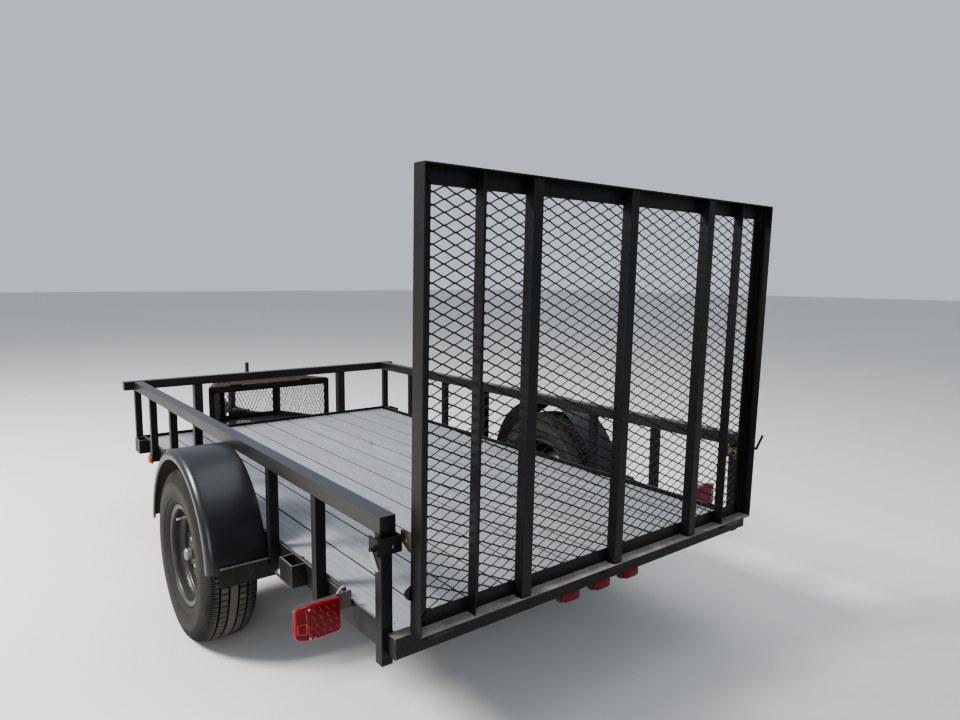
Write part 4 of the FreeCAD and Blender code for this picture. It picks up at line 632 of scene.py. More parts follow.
# ------------------------------------------------------------------ tyres
def tyre(side, word):
    """Radial trailer tyre with four grooves, cross sipes and a ribbed shoulder."""
    steps = 648
    grooves = [-0.052, -0.018, 0.018, 0.052]
    prof = [(-0.0775, 0.1935), (-0.0800, 0.2085), (-0.0880, 0.2110), (-0.0950, 0.2190), (-0.1005, 0.2310), (-0.1012, 0.2335),
            (-0.1030, 0.2345), (-0.1055, 0.2480), (-0.1068, 0.2630), (-0.1070, 0.2800), (-0.1062, 0.2930),
            (-0.1045, 0.3000), (-0.1050, 0.3015), (-0.1020, 0.3150), (-0.0975, 0.3265), (-0.0905, 0.3370)]
    tread = [(-0.0850, 0.3425), (-0.0790, 0.3455)]
    top = lambda x: 0.3530 - 0.0062 * (abs(x) / 0.079) ** 2.4
    for g in grooves:
        tread += [(g - 0.0042, top(g)), (g - 0.0030, top(g) - 0.0075), (g + 0.0030, top(g) - 0.0075), (g + 0.0042, top(g))]
    tread += [(0.0790, 0.3455), (0.0850, 0.3425)]
    extra = []
    for (xa, ra), (xb, rb) in zip(tread, tread[1:]):
        extra.append((xa, ra))
        if xb - xa > 0.012:
            for t in (0.33, 0.67):
                xm = xa + (xb - xa) * t
                extra.append((xm, top(xm)))
    extra.append(tread[-1])
    full = prof + extra + [(-x, r) for x, r in reversed(prof)]
    c = Vector((side * WHEEL_X, AXLE_Y, AXLE_Z))
    geo = Geo()
    rings = []
    for i in range(steps):
        ring = []
        for x, r in full:
            drop = 0.0
            ax = abs(x)
            if r > 0.3435 and ax < 0.083:
                rib = sum(1 for g in grooves if x > g)
                step_in = (i + (0, 3, 0, 7, 4)[rib]) % 8
                in_groove = any(abs(x - g) < 0.0035 for g in grooves)
                if not in_groove and rib in (1, 3) and step_in == 0:
                    drop = 0.0050
                elif not in_groove and rib in (0, 4) and i % 3 == 0:
                    drop = 0.0055 if ax > 0.064 else (0.0045 if i % 6 == 0 else 0.0)
            elif 0.298 < r <= 0.3435 and i % 3 == 0:
                drop = 0.0034 if r > 0.31 else 0.0018
            a = 2 * math.pi * i / steps
            rr = r - drop
            ring.append(Vector((c.x + side * x, c.y + rr * math.cos(a), c.z + rr * math.sin(a))))
        rings.append(ring)
    n = len(full)
    verts = [p for ring in rings for p in ring]
    faces = []
    for i in range(steps):
        k = (i + 1) % steps
        for j in range(n):
            m_ = (j + 1) % n
            faces.append((i * n + j, i * n + m_, k * n + m_, k * n + j))
    geo.add(verts, faces)
    geo.make("tyre_treaded_" + word, M["tyre_" + word], "wheel_" + word, smooth=28, slot="tyre", replaces=("tyre_" + word,))
    # lugs, dust cap and valve
    bits, capg, valve = Geo(), Geo(), Geo()
    out = Vector((side, 0, 0))
    for i in range(5):
        a = math.radians(50.5 + 72 * i)
        p = c + Vector((side * 0.0122, 0.05715 * math.cos(a), 0.05715 * math.sin(a)))
        bits.disc_run(p, out, [(0.0, 0.0135), (0.004, 0.0150), (0.0045, 0.0118), (0.0175, 0.0118), (0.0200, 0.0100)], 6, a)
        bits.disc_run(p + out * 0.020, out, [(0.0, 0.0098), (0.010, 0.0092), (0.0145, 0.0072), (0.0160, 0.002)], 16)
    bits.make("lug_nuts_" + word, M["zinc"], "wheel_" + word, smooth=30, slot="hub_metal")
    capg.disc_run(c + out * 0.0395, out, [(0.0, 0.0392), (0.002, 0.0392), (0.003, 0.0290), (0.0045, 0.0264), (0.006, 0.0259), (0.010, 0.0259), (0.0115, 0.0252),
                                         (0.020, 0.0251), (0.021, 0.0257), (0.0225, 0.0251), (0.0345, 0.0248), (0.0385, 0.0232), (0.0412, 0.0200), (0.0420, 0.0170), (0.0412, 0.0155), (0.0414, 0.0)], 48)
    capg.make("dust_cap_" + word, M["cap"], "wheel_" + word, smooth=40, slot="hub_metal")
    a = math.radians(139.0)
    u = Vector((0, math.cos(a), math.sin(a)))
    root = c + u * 0.176 + out * 0.034
    valve.disc_run(root, (out * 0.96 - u * 0.20), [(0.0, 0.0080), (0.004, 0.0080), (0.006, 0.0054), (0.030, 0.0038), (0.0305, 0.0046), (0.042, 0.0046), (0.043, 0.004)], 14)
    valve.make("valve_" + word, M["stem"], "wheel_" + word, smooth=40, slot="hub_metal")
    # weld ring between disc and rim well, and the rolled rim edge
    seam = Geo()
    loop = []
    for i in range(97):
        a = 2 * math.pi * i / 96
        loop.append(c + Vector((side * 0.0045, 0.1644 * math.cos(a), 0.1644 * math.sin(a))))
    seam.tube(loop, [0.0030 * (1.0 + 0.12 * math.sin(i * 2.6)) for i in range(97)], 7, caps=False)
    seam.make("disc_weld_" + word, M["wheel"], "wheel_" + word, smooth=60, slot="wheel_paint")
    ring = Geo()
    for xo in (0.0862, ):
        seg = 96
        sect = [(0.0, 0.2035), (0.0014, 0.2045), (0.0018, 0.2062), (0.0010, 0.2078), (0.0, 0.2085), (-0.004, 0.2085), (-0.004, 0.2035)]
        rr = []
        for i in range(seg + 1):
            a = 2 * math.pi * i / seg
            rr.append([c + Vector((side * (xo + s), r * math.cos(a), r * math.sin(a))) for s, r in sect])
        ring.loft(rr, True, False)
    ring.make("rim_edge_" + word, M["wheel"], "wheel_" + word, smooth=60, slot="wheel_paint")


tyre(1, "left")
tyre(-1, "right")


# ---------------------------------------------------------------- fenders
def fender(side, word):
    """Rolled steel fender: one skin, a round shoulder and a rolled-in lip."""
    skin = 0.0025
    rd = 0.028
    outer = [(FEN_IN, FEN_R)]
    for t in range(1, 8):
        outer.append((FEN_IN + (FEN_OUT - rd - FEN_IN) * t / 8, FEN_R))
    for t in range(0, 10):
        a = math.radians(90 * t / 9)
        outer.append((FEN_OUT - rd + rd * math.sin(a), FEN_R - rd + rd * math.cos(a)))
    outer.append((FEN_OUT, FEN_R - rd - 0.005))
    # rolled edge
    for t in range(0, 9):
        a = math.radians(-20 + 250 * t / 8)
        outer.append((FEN_OUT - 0.0048 + 0.0048 * math.cos(a), FEN_R - rd - 0.009 - 0.0048 * math.sin(a)))
    ring_n = 84
    geo = Geo()
    end = math.radians(5.0)
    # thickness by offset along the section normal
    inner = []
    for i, (x, r) in enumerate(outer):
        x0, r0 = outer[max(i - 1, 0)]
        x1, r1 = outer[min(i + 1, len(outer) - 1)]
        dx, dr = x1 - x0, r1 - r0
        ln = math.hypot(dx, dr)
        nx, nr = dr / ln, -dx / ln
        inner.append((x + nx * skin * (1 if i < 19 else 0.5), r + nr * skin * (1 if i < 19 else 0.5)))
    sect = outer + list(reversed(inner))
    rings = []
    for i in range(ring_n + 1):
        a = end + (math.pi - 2 * end) * i / ring_n
        dent = 0.0
        ring = []
        for x, r in sect:
            wave = 0.0012 * math.sin(3.1 * a + 9 * x) * math.sin(math.pi * (x - FEN_IN) / 0.2 if x < FEN_OUT - rd else 0.0)
            ring.append(Vector((side * x, FEN_Y + (r + wave) * math.cos(a), FEN_Z + (r + wave) * math.sin(a))))
        rings.append(ring)
    geo.loft(rings)
    geo.make("fender_skin_" + word, M["fender"], "chassis", smooth=50, slot="fender_paint", replaces=("fender_" + word,))


fender(1, "left")
fender(-1, "right")


# ----------------------------------------------------------- tail lights
def tail_light(side, word):
    """Combination lamp: dark housing, red lens that turns round the outer side."""
    x0, z0 = 0.9055, GATE_Z - 0.0815
    y1 = -0.2602 + YS
    # outline seen from behind, x from the inner end; the lower outer corner is cut back
    pts = [(0.0, 0.012), (0.003, 0.006), (0.009, 0.0035), (0.078, 0.0), (0.0815, 0.0065), (0.0870, 0.0065), (0.0905, 0.0), (0.104, 0.0015),
           (0.133, 0.0085), (0.1405, 0.0135), (0.1435, 0.022), (0.1438, 0.096), (0.1415, 0.1025), (0.136, 0.1055), (0.100, 0.1105), (0.050, 0.111), (0.010, 0.1105),
           (0.003, 0.108), (0.0, 0.101)]
    dense_ = []
    for (ax, az), (bx, bz) in zip(pts, pts[1:] + pts[:1]):
        n = max(1, int(math.hypot(bx - ax, bz - az) / 0.012))
        for t in range(n):
            dense_.append((ax + (bx - ax) * t / n, az + (bz - az) * t / n))
    mid = Vector((0.072, 0.056))

    def back_of(x):
        """How far the rear face falls away towards the outer end."""
        t = max(0.0, (x - 0.108) / 0.036)
        return 0.0065 * t ** 1.5

    def at(x, z, y):
        return Vector((side * (x0 + x), y - back_of(x), z0 + z))

    def ring(lift, grow, flat=False):
        out = []
        for ax, az in dense_:
            p = Vector((ax, az)) - mid
            q = mid + p * (1.0 + grow / max(p.length, 0.02))
            x, z = q.x, q.y
            out.append(Vector((side * (x0 + x), y1 + lift, z0 + z)) if flat else at(x, z, y1 + lift))
        return out
    back = Geo()
    back.loft([ring(-0.0295, -0.0060, True), ring(-0.0280, -0.0030, True), ring(-0.0272, -0.0022, True), ring(-0.0098, -0.0010), ring(-0.0088, 0.0), ring(-0.0066, 0.0)])
    back.make("tail_light_housing_" + word, M["lamp"], "chassis", smooth=40, slot="frame_paint", replaces=("tail_lights",) if side > 0 else ())
    # lens: crowned front in rows from the rim to the middle
    red = Geo()
    rows = [(-0.0085, -0.0004), (-0.0032, -0.0006), (-0.0010, -0.0020), (0.0, -0.0052), (-0.0004, -0.0066)]
    # the lens rim is a brighter red than the middle: painted highlight along the edge of the lens
    skirt = Geo()
    skirt.loft([ring(a_, g_) for a_, g_ in rows], True, False)
    skirt.make("tail_light_lens_rim_highlight_" + word, M["rim_red_highlight"], "chassis", smooth=32, slot="red_lens")
    rows = [(-0.0075, -0.0040), (-0.0006, -0.0060), (-0.0002, -0.014)]
    rings = [ring(a_, g_) for a_, g_ in rows]
    rings.append([at(mid.x + (q.x * side - x0 - mid.x) * 0.45, mid.y + (q.z - z0 - mid.y) * 0.45, y1 + 0.0) for q in rings[-1]])
    rings.append([at(mid.x + (q.x * side - x0 - mid.x) * 0.02, mid.y + (q.z - z0 - mid.y) * 0.02, y1 + 0.0) for q in rings[-1]])
    red.loft(rings)
    red.make("tail_light_lens_" + word, M["red"], "chassis", smooth=32, slot="red_lens")
    wrap = Geo()
    # red side piece over the outer end of the housing
    cols = []
    for t in range(0, 9):
        z = 0.026 + 0.066 * t / 8
        cols.append([Vector((side * (x0 + 0.1425), y1 - 0.0262, z0 + z)), Vector((side * (x0 + 0.1440), y1 - 0.0250, z0 + z)), Vector((side * (x0 + 0.1440), y1 - 0.0195, z0 + z)), Vector((side * (x0 + 0.1430), y1 - 0.0185, z0 + z))])
    wrap.loft(cols)
    wrap.make("tail_light_side_lens_" + word, M["red"], "chassis", smooth=40, slot="red_lens")
    # pale thin lines over the lens: painted glints on the lens facets
    ribs = Geo()
    for k_ in range(-5, 8):
        for part in range(4):
            a_ = 0.004 + k_ * 0.0215 + (part % 2) * 0.006
            zs, ze = 0.012 + part * 0.0235, 0.012 + part * 0.0235 + 0.0155
            q = []
            for t in range(0, 5):
                z = zs + (ze - zs) * t / 4
                x = a_ + 0.062 * (z - 0.01) / 0.09
                if 0.008 < x < 0.104 and z < 0.104:
                    q.append(at(x, z, y1 + 0.0001))
            if len(q) > 2:
                ribs.tube(q, 0.00080, 5)
    box_ = [(0.110, 0.026), (0.110, 0.058), (0.136, 0.056), (0.135, 0.028), (0.110, 0.026)]
    for (ax, az), (bx, bz) in zip(box_, box_[1:]):
        ribs.tube([at(ax, az, y1 + 0.0002), at(bx, bz, y1 + 0.0002)], 0.0010, 5)
    edge_ = [at(0.106 + 0.00012 * (z - 50), z / 1000.0, y1 + 0.0001) for z in range(6, 106, 8)]
    ribs.tube(edge_, 0.0010, 5)
    ribs.make("tail_light_painted_glints_" + word, M["glint"], "chassis", smooth=60, slot="red_lens")
    screws = Geo()
    for px, pz in ((0.101, 0.0985), (0.0985, 0.0095)):
        screws.disc_run(at(px, pz, y1 - 0.0002), Y, [(0.0, 0.0042), (0.0015, 0.0040), (0.0026, 0.0026), (0.0029, 0.0)], 18)
    screws.make("tail_light_screws_" + word, M["zinc"], "chassis", smooth=40, slot="zinc")
    studs = Geo()
    for px in (0.030, 0.075):
        studs.bolt((side * (x0 + px), y1 - 0.0340, z0 + 0.055), -Y, 0.011, 0.006)
    studs.make("tail_light_nuts_" + word, M["zinc"], "chassis", smooth=30, slot="zinc")


tail_light(1, "left")
tail_light(-1, "right")

# three lamps under the rear member
lamp_y, lamp_z = -0.034 + YS, FRAME_TOP - 0.062 - 0.0245
lamps, bases, feet = Geo(), Geo(), Geo()


def squarish(mid, y, half_x, half_z, power, n=44):
    out = []
    for j in range(n):
        t = 2 * math.pi * j / n
        ct, st = math.cos(t), math.sin(t)
        out.append(Vector((mid + half_x * math.copysign(abs(ct) ** power, ct), y, lamp_z + half_z * math.copysign(abs(st) ** power, st))))
    return out


for mid in (0.157, 0.0, -0.157):
    bases.loft([squarish(mid, lamp_y - 0.020, 0.0465, 0.0205, 0.35), squarish(mid, lamp_y - 0.018, 0.0480, 0.0220, 0.35), squarish(mid, lamp_y - 0.003, 0.0480, 0.0220, 0.35), squarish(mid, lamp_y, 0.0465, 0.0205, 0.35)])
    lamps.loft([squarish(mid, lamp_y - 0.001, 0.0385, 0.0205, 0.42), squarish(mid, lamp_y + 0.011, 0.0375, 0.0198, 0.42), squarish(mid, lamp_y + 0.0155, 0.0345, 0.0172, 0.45), squarish(mid, lamp_y + 0.0175, 0.0275, 0.0120, 0.5), squarish(mid, lamp_y + 0.0180, 0.0020, 0.0010, 0.8)])
    for e in (-0.0430, 0.0430):
        feet.bolt((mid + e, lamp_y - 0.0002, lamp_z), Y, 0.0065, 0.0035, washer=False)
lamps.make("rear_lamp_lenses", M["red"], "chassis", smooth=45, slot="red_lens")
bases.make("rear_lamp_bodies", M["housing"], "chassis", smooth=45, slot="frame_paint", replaces=("light_bar",))
feet.make("rear_lamp_screws", M["housing"], "chassis", smooth=30, slot="zinc")

# side markers: amber lens on a black base
marks, plates = Geo(), Geo()
for s in (1, -1):
    ym = -2.640 + YS - POST / 2
    zm = FRAME_LOW - 0.004 + 0.023
    plates.box((s * RAIL_HALF if s > 0 else s * (RAIL_HALF + 0.007), ym - 0.030, zm - 0.023),
              (s * (RAIL_HALF + 0.007) if s > 0 else s * RAIL_HALF, ym + 0.030, zm + 0.023))
    rings = []
    for dx, gy, gz in ((0.0065, 0.028, 0.021), (0.013, 0.0275, 0.0205), (0.0175, 0.025, 0.018), (0.0197, 0.018, 0.012)):
        rings.append([Vector((s * (RAIL_HALF + dx), ym + gy * math.copysign(abs(math.cos(t)) ** 0.4, math.cos(t)),
                              zm + gz * math.copysign(abs(math.sin(t)) ** 0.4, math.sin(t)))) for t in [2 * math.pi * j / 36 for j in range(36)]])
    marks.loft(rings)
plates.make("side_marker_bases", M["housing"], "chassis", bevel=0.0012, slot="frame_paint", replaces=("side_markers",))
marks.make("side_marker_lenses", M["amber"], "chassis", smooth=45, slot="amber_lens")

# ------------------------------------------- painted highlights along lit edges, with paint worn off sharp edges
edge_highlight_and_wear = Geo()


def edge(*points):
    """A hair-thin pale line of uneven width: painted highlight on a lit edge, with worn metal."""
    pts = []
    for a, b in zip(points, points[1:]):
        a, b = Vector(a), Vector(b)
        n = max(2, int((b - a).length / 0.008))
        pts += [a.lerp(b, t / n) for t in range(n)]
    pts.append(Vector(points[-1]))
    edge_highlight_and_wear.tube(pts, [0.00095 * (1.0 + 0.45 * math.sin(i * 1.9) * math.sin(i * 0.7 + 1.0)) for i in range(len(pts))], 5)


for s in (1, -1):
    for mid in (-2.947, -0.6845):
        ya, yb, xo, xi = mid - 0.0525 + YS, mid + 0.0525 + YS, s * 0.9035, s * FRAME_HALF
        zt, zb = 0.493, 0.413
        edge((xi, ya, zt), (xo, ya, zt), (xo, yb, zt), (xi, yb, zt))
        edge((xo, ya, zt), (xo, ya, zb))
        edge((xo, yb, zt), (xo, yb, zb))
        edge((xo, ya, zb), (xo, yb, zb), (xi, yb, zb))
        w_ = 0.0048
        edge((xi, ya + w_, zt), (xo - s * w_, ya + w_, zt), (xo - s * w_, yb - w_, zt), (xi, yb - w_, zt))
    edge((s * 0.8894, -0.872 + YS, 0.438), (s * 1.068, -0.872 + YS, 0.438))
    edge((s * 1.068, -0.872 + YS, 0.438), (s * 1.068, -0.886 + YS, 0.438))
    edge((s * FRAME_HALF, -0.050 + YS, FRAME_TOP), (s * FRAME_HALF, -0.62 + YS, FRAME_TOP))
    edge((s * 0.8702, -0.0025 + YS, FRAME_TOP - 0.001), (s * 0.8702, -0.0025 + YS, FRAME_TOP - 0.061))
edge_highlight_and_wear.make("painted_edge_highlights_and_wear", M["edge_highlight_and_wear"], "chassis", smooth=60, slot="frame_paint")

# --------------------------------------------------------- weld beads
weld = Geo()
for s in (1, -1):
    for y in POSTS:
        y0, y1 = y + YS - POST, y + YS
        xo, xi = s * RAIL_HALF, s * (RAIL_HALF - POST)
        zt = RAIL_TOP - RAIL
        # under the rail
        weld.bead((xo - s * 0.001, y0, zt), (xo - s * 0.001, y1, zt), 0.0028)
        weld.bead((xi, y0, zt), (xi, y1, zt), 0.0028)
        # down the two sides of the post along the frame
        for yy_ in (y0, y1):
            weld.bead((s * FRAME_HALF + s * 0.001, yy_, FRAME_LOW + 0.008), (s * FRAME_HALF + s * 0.001, yy_, FRAME_TOP - 0.006), 0.0032)
    # pockets
    for mid, ends in ((-2.947, 1), (-0.6845, 1)):
        for e in (-0.0525, 0.0525):
            weld.bead((s * FRAME_HALF + s * 0.001, mid + YS + e, FRAME_LOW + 0.006), (s * FRAME_HALF + s * 0.001, mid + YS + e, FRAME_LOW + 0.079), 0.0032)
    # front rail to side rail
    yr = FRONT_Y
    weld.bead((s * RAIL_HALF, yr, RAIL_TOP - 0.002), (s * RAIL_HALF, yr, RAIL_TOP - RAIL + 0.002), 0.003)
    weld.bead((s * (RAIL_HALF - RAIL), yr, RAIL_TOP - 0.002), (s * (RAIL_HALF - RAIL), yr, RAIL_TOP - RAIL + 0.002), 0.003)
    weld.bead((s * (RAIL_HALF - RAIL), yr, RAIL_TOP), (s * RAIL_HALF, yr, RAIL_TOP), 0.0022)
    # rear member to the posts
    weld.bead((s * (RAIL_HALF - POST), -0.0446 + YS, FRAME_TOP - 0.004), (s * (RAIL_HALF - POST), -0.0446 + YS, FRAME_TOP - 0.058), 0.003)
    # front posts
    xm = s * 0.508
    for e in (-0.0254, 0.0254):
        weld.bead((xm + e, FRONT_Y - 0.001, FRAME_LOW + 0.008), (xm + e, FRONT_Y - 0.001, FRAME_TOP - 0.004), 0.003)
    weld.bead((xm - 0.025, FRONT_Y - 0.0005, RAIL_TOP - RAIL), (xm + 0.025, FRONT_Y - 0.0005, RAIL_TOP - RAIL), 0.003)
    # latch
    weld.bead((s * 0.889, -0.052 + YS, GATE_Z + 0.238), (s * 0.889, -0.052 + YS, GATE_Z + 0.267), 0.003)
    # tongue to the front member
    t0 = math.tan(math.radians(25.0))
    weld.bead((s * 0.496, FRONT_Y - 0.0005, FRAME_LOW), (s * 0.456, FRONT_Y - 0.0005, FRAME_LOW), 0.0035)
    # basket posts
    for q in ((B_HALF, B_REAR), (B_NOSE, B_FRONT)):
        weld.bead((s * q[0] - s * 0.034, q[1], B_TOP - 0.037), (s * q[0] - s * 0.002, q[1], B_TOP - 0.037), 0.0022)
weld.make("weld_beads", M["weld"], "chassis", smooth=60, slot="frame_paint")

gweld = Geo()
gh, gt_, gl = 0.8245, 1.275, 0.0508
yf = YS + 0.0048
for s in (1, -1):
    for top in (0, 1):
        za = GATE_Z + (gt_ if top else 0.0)
        zb = GATE_Z + (gt_ - gl if top else gl)
        gweld.bead((s * (gh - 0.004), yf, za + (-0.004 if top else 0.004)), (s * (gh - gl), yf, zb), 0.0026)
for mid in (0.427, 0.0, -0.427):
    for zz in (GATE_Z + 0.0048, GATE_Z + gt_ - 0.0048):
        for e in (-0.019, 0.019):
            gweld.bead((mid + e, YS + 0.007, zz), (mid + e, YS + 0.041, zz), 0.0028)
    for zz in (GATE_Z + gl, GATE_Z + gt_ - gl):
        gweld.bead((mid - 0.018, yf + 0.0005, zz), (mid + 0.018, yf + 0.0005, zz), 0.0022)
# tack welds of the mesh along the angle
for i in range(18):
    x = -0.76 + i * 1.52 / 17
    for zz in (GATE_Z + 0.024, GATE_Z + gt_ - 0.024):
        gweld.bead((x, YS - 0.0012, zz), (x + 0.012, YS - 0.0012, zz), 0.0026)
for i in range(13):
    zz = GATE_Z + 0.07 + i * (gt_ - 0.14) / 12
    for s in (1, -1):
        gweld.bead((s * 0.800, YS - 0.0012, zz), (s * 0.800, YS - 0.0012, zz + 0.012), 0.0026)
for mid in (0.730, 0.0, -0.730):
    gweld.bead((mid - 0.038, YS + 0.033, GATE_Z - 0.0005), (mid + 0.038, YS + 0.033, GATE_Z - 0.0005), 0.0028)
    gweld.bead((mid - 0.038, YS + 0.011, GATE_Z - 0.0005), (mid + 0.038, YS + 0.011, GATE_Z - 0.0005), 0.0028)
gweld.make("gate_weld_beads", M["weld"], "gate", smooth=60, slot="gate_paint", turn=LEAN)
tab = Geo()
rows_ = []
for t in range(0, 11):
    a = t / 10
    z = GATE_Z + 0.098 + 0.040 * a
    wide = 0.013 * math.sin(math.pi * min(1.0, 0.18 + a * 0.9)) + 0.002
    rows_.append([Vector((0.8245, YS + 0.004 - wide * 1.1, z)), Vector((0.8285 + wide * 0.5, YS + 0.002 - wide * 1.1, z)), Vector((0.8290 + wide * 0.3, YS + 0.006, z)), Vector((0.8245, YS + 0.006, z))])
tab.loft(rows_)
tab.make("gate_side_tab", M["latch"], "gate", smooth=40, slot="rust_plate", turn=LEAN)

# ----------------------------------------------------------- fasteners
screws = Geo()
pitch = 0.1532
for row in (-3.011, -2.579, -2.149, -1.719, -1.309, -0.899, -0.489, -0.109):
    for i in range(11):
        mid = (i - 5) * pitch
        for k, e in enumerate((-0.045, 0.045)):
            w = 0.004 * math.sin(i * 3.7 + row * 11 + k)
            screws.disc_run((mid + e + w, row + YS + 0.5 * w, DECK - 0.0016), Z, [(0.0, 0.0050), (0.0016, 0.0048), (0.0019, 0.0040), (0.0014, 0.0022), (0.0008, 0.0)], 12)
screws.make("deck_screws", M["cast"], "chassis", smooth=35, slot="rust_plate")

hex_ = Geo()
ty = AXLE_Y
for s in (1, -1):
    sx = 0.8255
    for sy in (-1, 1):
        for e in (-1, 1):
            # clamp nuts under the axle bar
            hex_.bolt((s * (sx + e * 0.02875), ty + sy * 0.036, 0.353 - 0.102 - 0.030 - 0.0125), -Z, 0.016, 0.010)
            hex_.bolt((s * (sx + e * 0.02875), ty + sy * 0.036, 0.353 - 0.102 + 0.030 + 0.006 + 0.026 + 0.0092), Z, 0.016, 0.008)
hex_.make("spring_clamp_nuts", M["under"], "chassis", smooth=30, slot="running_gear")
eyes = Geo()
lo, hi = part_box("leaf_springs")
zeye = hi[2] - 0.020
for s in (1, -1):
    for sy in (-1, 1):
        for e in (-1, 1):
            eyes.bolt((s * 0.8255 + e * 0.0375, ty + sy * 0.320, zeye), Vector((e, 0, 0)), 0.017, 0.008)
eyes.make("spring_eye_bolts", M["under"], "chassis", smooth=30, slot="running_gear")
jb = Geo()
for i in range(3):
    a = math.radians(90 + 120 * i)
    jb.bolt((0.051 * math.cos(a), JACK_Y + 0.051 * math.sin(a), FRAME_LOW + 0.014), Z, 0.014, 0.008)
jb.make("jack_bolts", M["zinc"], "chassis", smooth=30, slot="zinc")
grip = Geo()
lo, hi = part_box("jack_crank")
gx, gy_ = -0.129, JACK_Y
gz0, gz1 = hi[2] - 0.084, hi[2]
grip.disc_run((gx, gy_, gz0 + 0.002), Z, [(0.0, 0.0136), (0.004, 0.0150), (0.010, 0.0152), (0.020, 0.0142), (0.040, 0.0140), (0.060, 0.0144), (0.072, 0.0150), (0.078, 0.0140), (0.0815, 0.0095)], 28)
grip.make("crank_grip", M["jack"], "chassis", smooth=40, slot="frame_paint")
# coil spring on each latch bolt and the drawn handle of the left latch
lat, hand = Geo(), Geo()
by, bz = -0.0378 + YS, GATE_Z + 0.253
for s in (1, -1):
    coil = []
    for i in range(0, 97):
        a = 2 * math.pi * i / 12
        coil.append((s * (0.838 + 0.060 * i / 96), by + 0.0088 * math.cos(a), bz + 0.0088 * math.sin(a)))
    lat.tube(coil, 0.0011, 6)
lat.make("latch_springs", M["zinc"], "chassis", smooth=60, slot="zinc")
hand.tube([(0.9240, by, bz - 0.004), (0.9215, by + 0.0005, bz - 0.014), (0.9155, by + 0.001, bz - 0.034), (0.9085, by + 0.001, bz - 0.056), (0.9050, by + 0.001, bz - 0.0645)],
          [0.0054, 0.0056, 0.0056, 0.0056, 0.0050], 14)
hand.make("latch_handle_bright", M["zinc"], "chassis", smooth=50, slot="zinc")

# wiring loom clipped inside the left edge of the frame
# the black loom on the boards along the frame's edge is partly wiring and partly a painted shadow of the frame's
# upright on the boards
loom_and_painted_shadow = Geo()
pts = []
for i in range(0, 61):
    y = -3.022 + (2.67) * i / 60
    climb = max(0.0, min(1.0, (y + 0.60) / 0.10))
    climb = climb * climb * (3 - 2 * climb)
    pts.append((0.8390 + 0.0080 * climb + 0.0018 * (1 - climb) * math.sin(i * 0.9), y + YS,
                DECK + 0.0068 + 0.0012 * math.sin(i * 1.7) * (1 - climb) + (FRAME_TOP + 0.0078 - DECK - 0.0068) * climb))
loom_and_painted_shadow.tube(pts, [0.0066 * (1 + 0.04 * math.sin(i * 2.1)) for i in range(61)], 10)
loom_and_painted_shadow.make("wiring_loom_and_painted_shadow", M["loom_and_painted_shadow"], "chassis", smooth=60, slot="frame_paint")
clips = Geo()
for i in range(8):
    y = -2.90 + 0.315 * i
    clips.box((0.8300, y + YS - 0.006, DECK + 0.0002), (0.8482, y + YS + 0.006, DECK + 0.0146))
clips.make("loom_clips", M["housing"], "chassis", bevel=0.0012, slot="frame_paint")
wire_curve = bpy.data.curves.new("tail_light_wire", "CURVE")
wire_curve.dimensions = "3D"
wire_curve.bevel_depth = 0.0026
wire_curve.bevel_resolution = 4
wire_curve.use_fill_caps = True
W_PTS = [(0.8472, -0.3560 + YS, FRAME_TOP + 0.0080), (0.8500, -0.3500 + YS, FRAME_TOP + 0.0200), (0.8620, -0.3410 + YS, FRAME_TOP + 0.0225),
         (0.8800, -0.3270 + YS, FRAME_TOP + 0.0190), (0.8950, -0.3130 + YS, FRAME_TOP + 0.0130), (0.9060, -0.3010 + YS, FRAME_TOP + 0.0080), (0.9130, -0.2905 + YS, FRAME_TOP + 0.0060)]
sp = wire_curve.splines.new("POLY")
dense = []
for i in range(len(W_PTS) - 1):
    p0, p1 = Vector(W_PTS[max(i - 1, 0)]), Vector(W_PTS[i])
    p2, p3 = Vector(W_PTS[i + 1]), Vector(W_PTS[min(i + 2, len(W_PTS) - 1)])
    for t in range(6):
        s = t / 6
        dense.append(0.5 * ((2 * p1) + (p2 - p0) * s + (2 * p0 - 5 * p1 + 4 * p2 - p3) * s * s + (3 * p1 - p0 - 3 * p2 + p3) * s ** 3))
dense.append(Vector(W_PTS[-1]))
sp.points.add(len(dense) - 1)
for p, q in zip(sp.points, dense):
    p.co = (*q, 1.0)
wire = bpy.data.objects.new("tail_light_wire", wire_curve)
bpy.context.scene.collection.objects.link(wire)
wire_curve.materials.append(M["wire"])
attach(wire, "chassis")

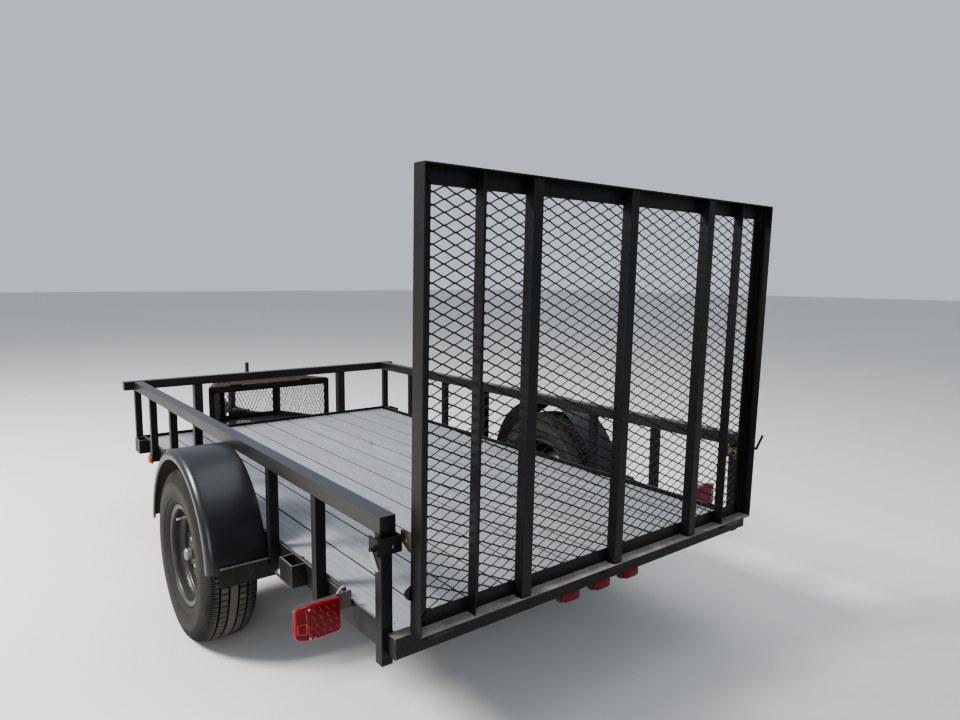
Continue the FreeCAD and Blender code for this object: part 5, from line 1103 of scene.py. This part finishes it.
# ------------------------------------------------------------- the stage
floor_mesh = bpy.data.meshes.new("floor")
floor_mesh.from_pydata([(-60, -60, 0), (60, -60, 0), (60, 60, 0), (-60, 60, 0)], [], [(0, 1, 2, 3)])
floor = bpy.data.objects.new("floor", floor_mesh)
bpy.context.scene.collection.objects.link(floor)
k = Nodes("floor_pale")
grit = k.noise(4.0, 5.0, 0.5)
floor_mesh.materials.append(k.set(Base_Color=k.mix(grit, (0.62, 0.61, 0.595), (0.66, 0.65, 0.635)), Roughness=0.9))

world = bpy.data.worlds.new("studio")
bpy.context.scene.world = world
world.use_nodes = True
bg = world.node_tree.nodes["Background"]
bg.inputs[0].default_value = (0.84, 0.91, 1.0, 1.0)
bg.inputs[1].default_value = 0.60


def area(name, place, aim, size, power, colour=(1, 1, 1)):
    data = bpy.data.lights.new(name, "AREA")
    data.shape, data.size, data.size_y = "RECTANGLE", size[0], size[1]
    data.energy, data.color = power, colour
    obj = bpy.data.objects.new(name, data)
    bpy.context.scene.collection.objects.link(obj)
    obj.location = place
    obj.rotation_euler = (Vector(aim) - Vector(place)).to_track_quat("-Z", "Y").to_euler()
    return obj


area("key", (6.0, -1.5, 6.0), (0, 0, 0.5), (2.2, 2.2), 1250.0, (1.0, 0.96, 0.90))
area("fill", (4.5, 6.5, 2.8), (0, 0.5, 0.5), (3.5, 2.5), 130.0, (0.92, 0.96, 1.0))
area("top", (-2.0, 1.0, 6.0), (0, 0, 0.4), (5.0, 5.0), 120.0, (0.95, 0.97, 1.0))
bpy.context.scene.view_settings.look = "AgX - Medium High Contrast"

# ------------------------------------------------------------- the camera
cam_data = bpy.data.cameras.new("camera")
cam_data.sensor_width = 36.0
cam_data.sensor_fit = "HORIZONTAL"
cam_data.lens = 689.035 / 960.0 * 36.0
cam_data.clip_end = 200.0
cam = bpy.data.objects.new("camera", cam_data)
bpy.context.scene.collection.objects.link(cam)
R = Vector((-0.7865686570, 0.6174319465, 0.0093561985))
D = Vector((0.0665342901, 0.0998044157, -0.9927800697))
F = Vector((-0.6139079208, -0.7802671786, -0.1195834215))
cam.matrix_world = Matrix(((R.x, -D.x, -F.x, 1.80108), (R.y, -D.y, -F.y, 1.54565 + YS), (R.z, -D.z, -F.z, 0.98724 + GATE_Z), (0, 0, 0, 1)))
bpy.context.scene.camera = cam
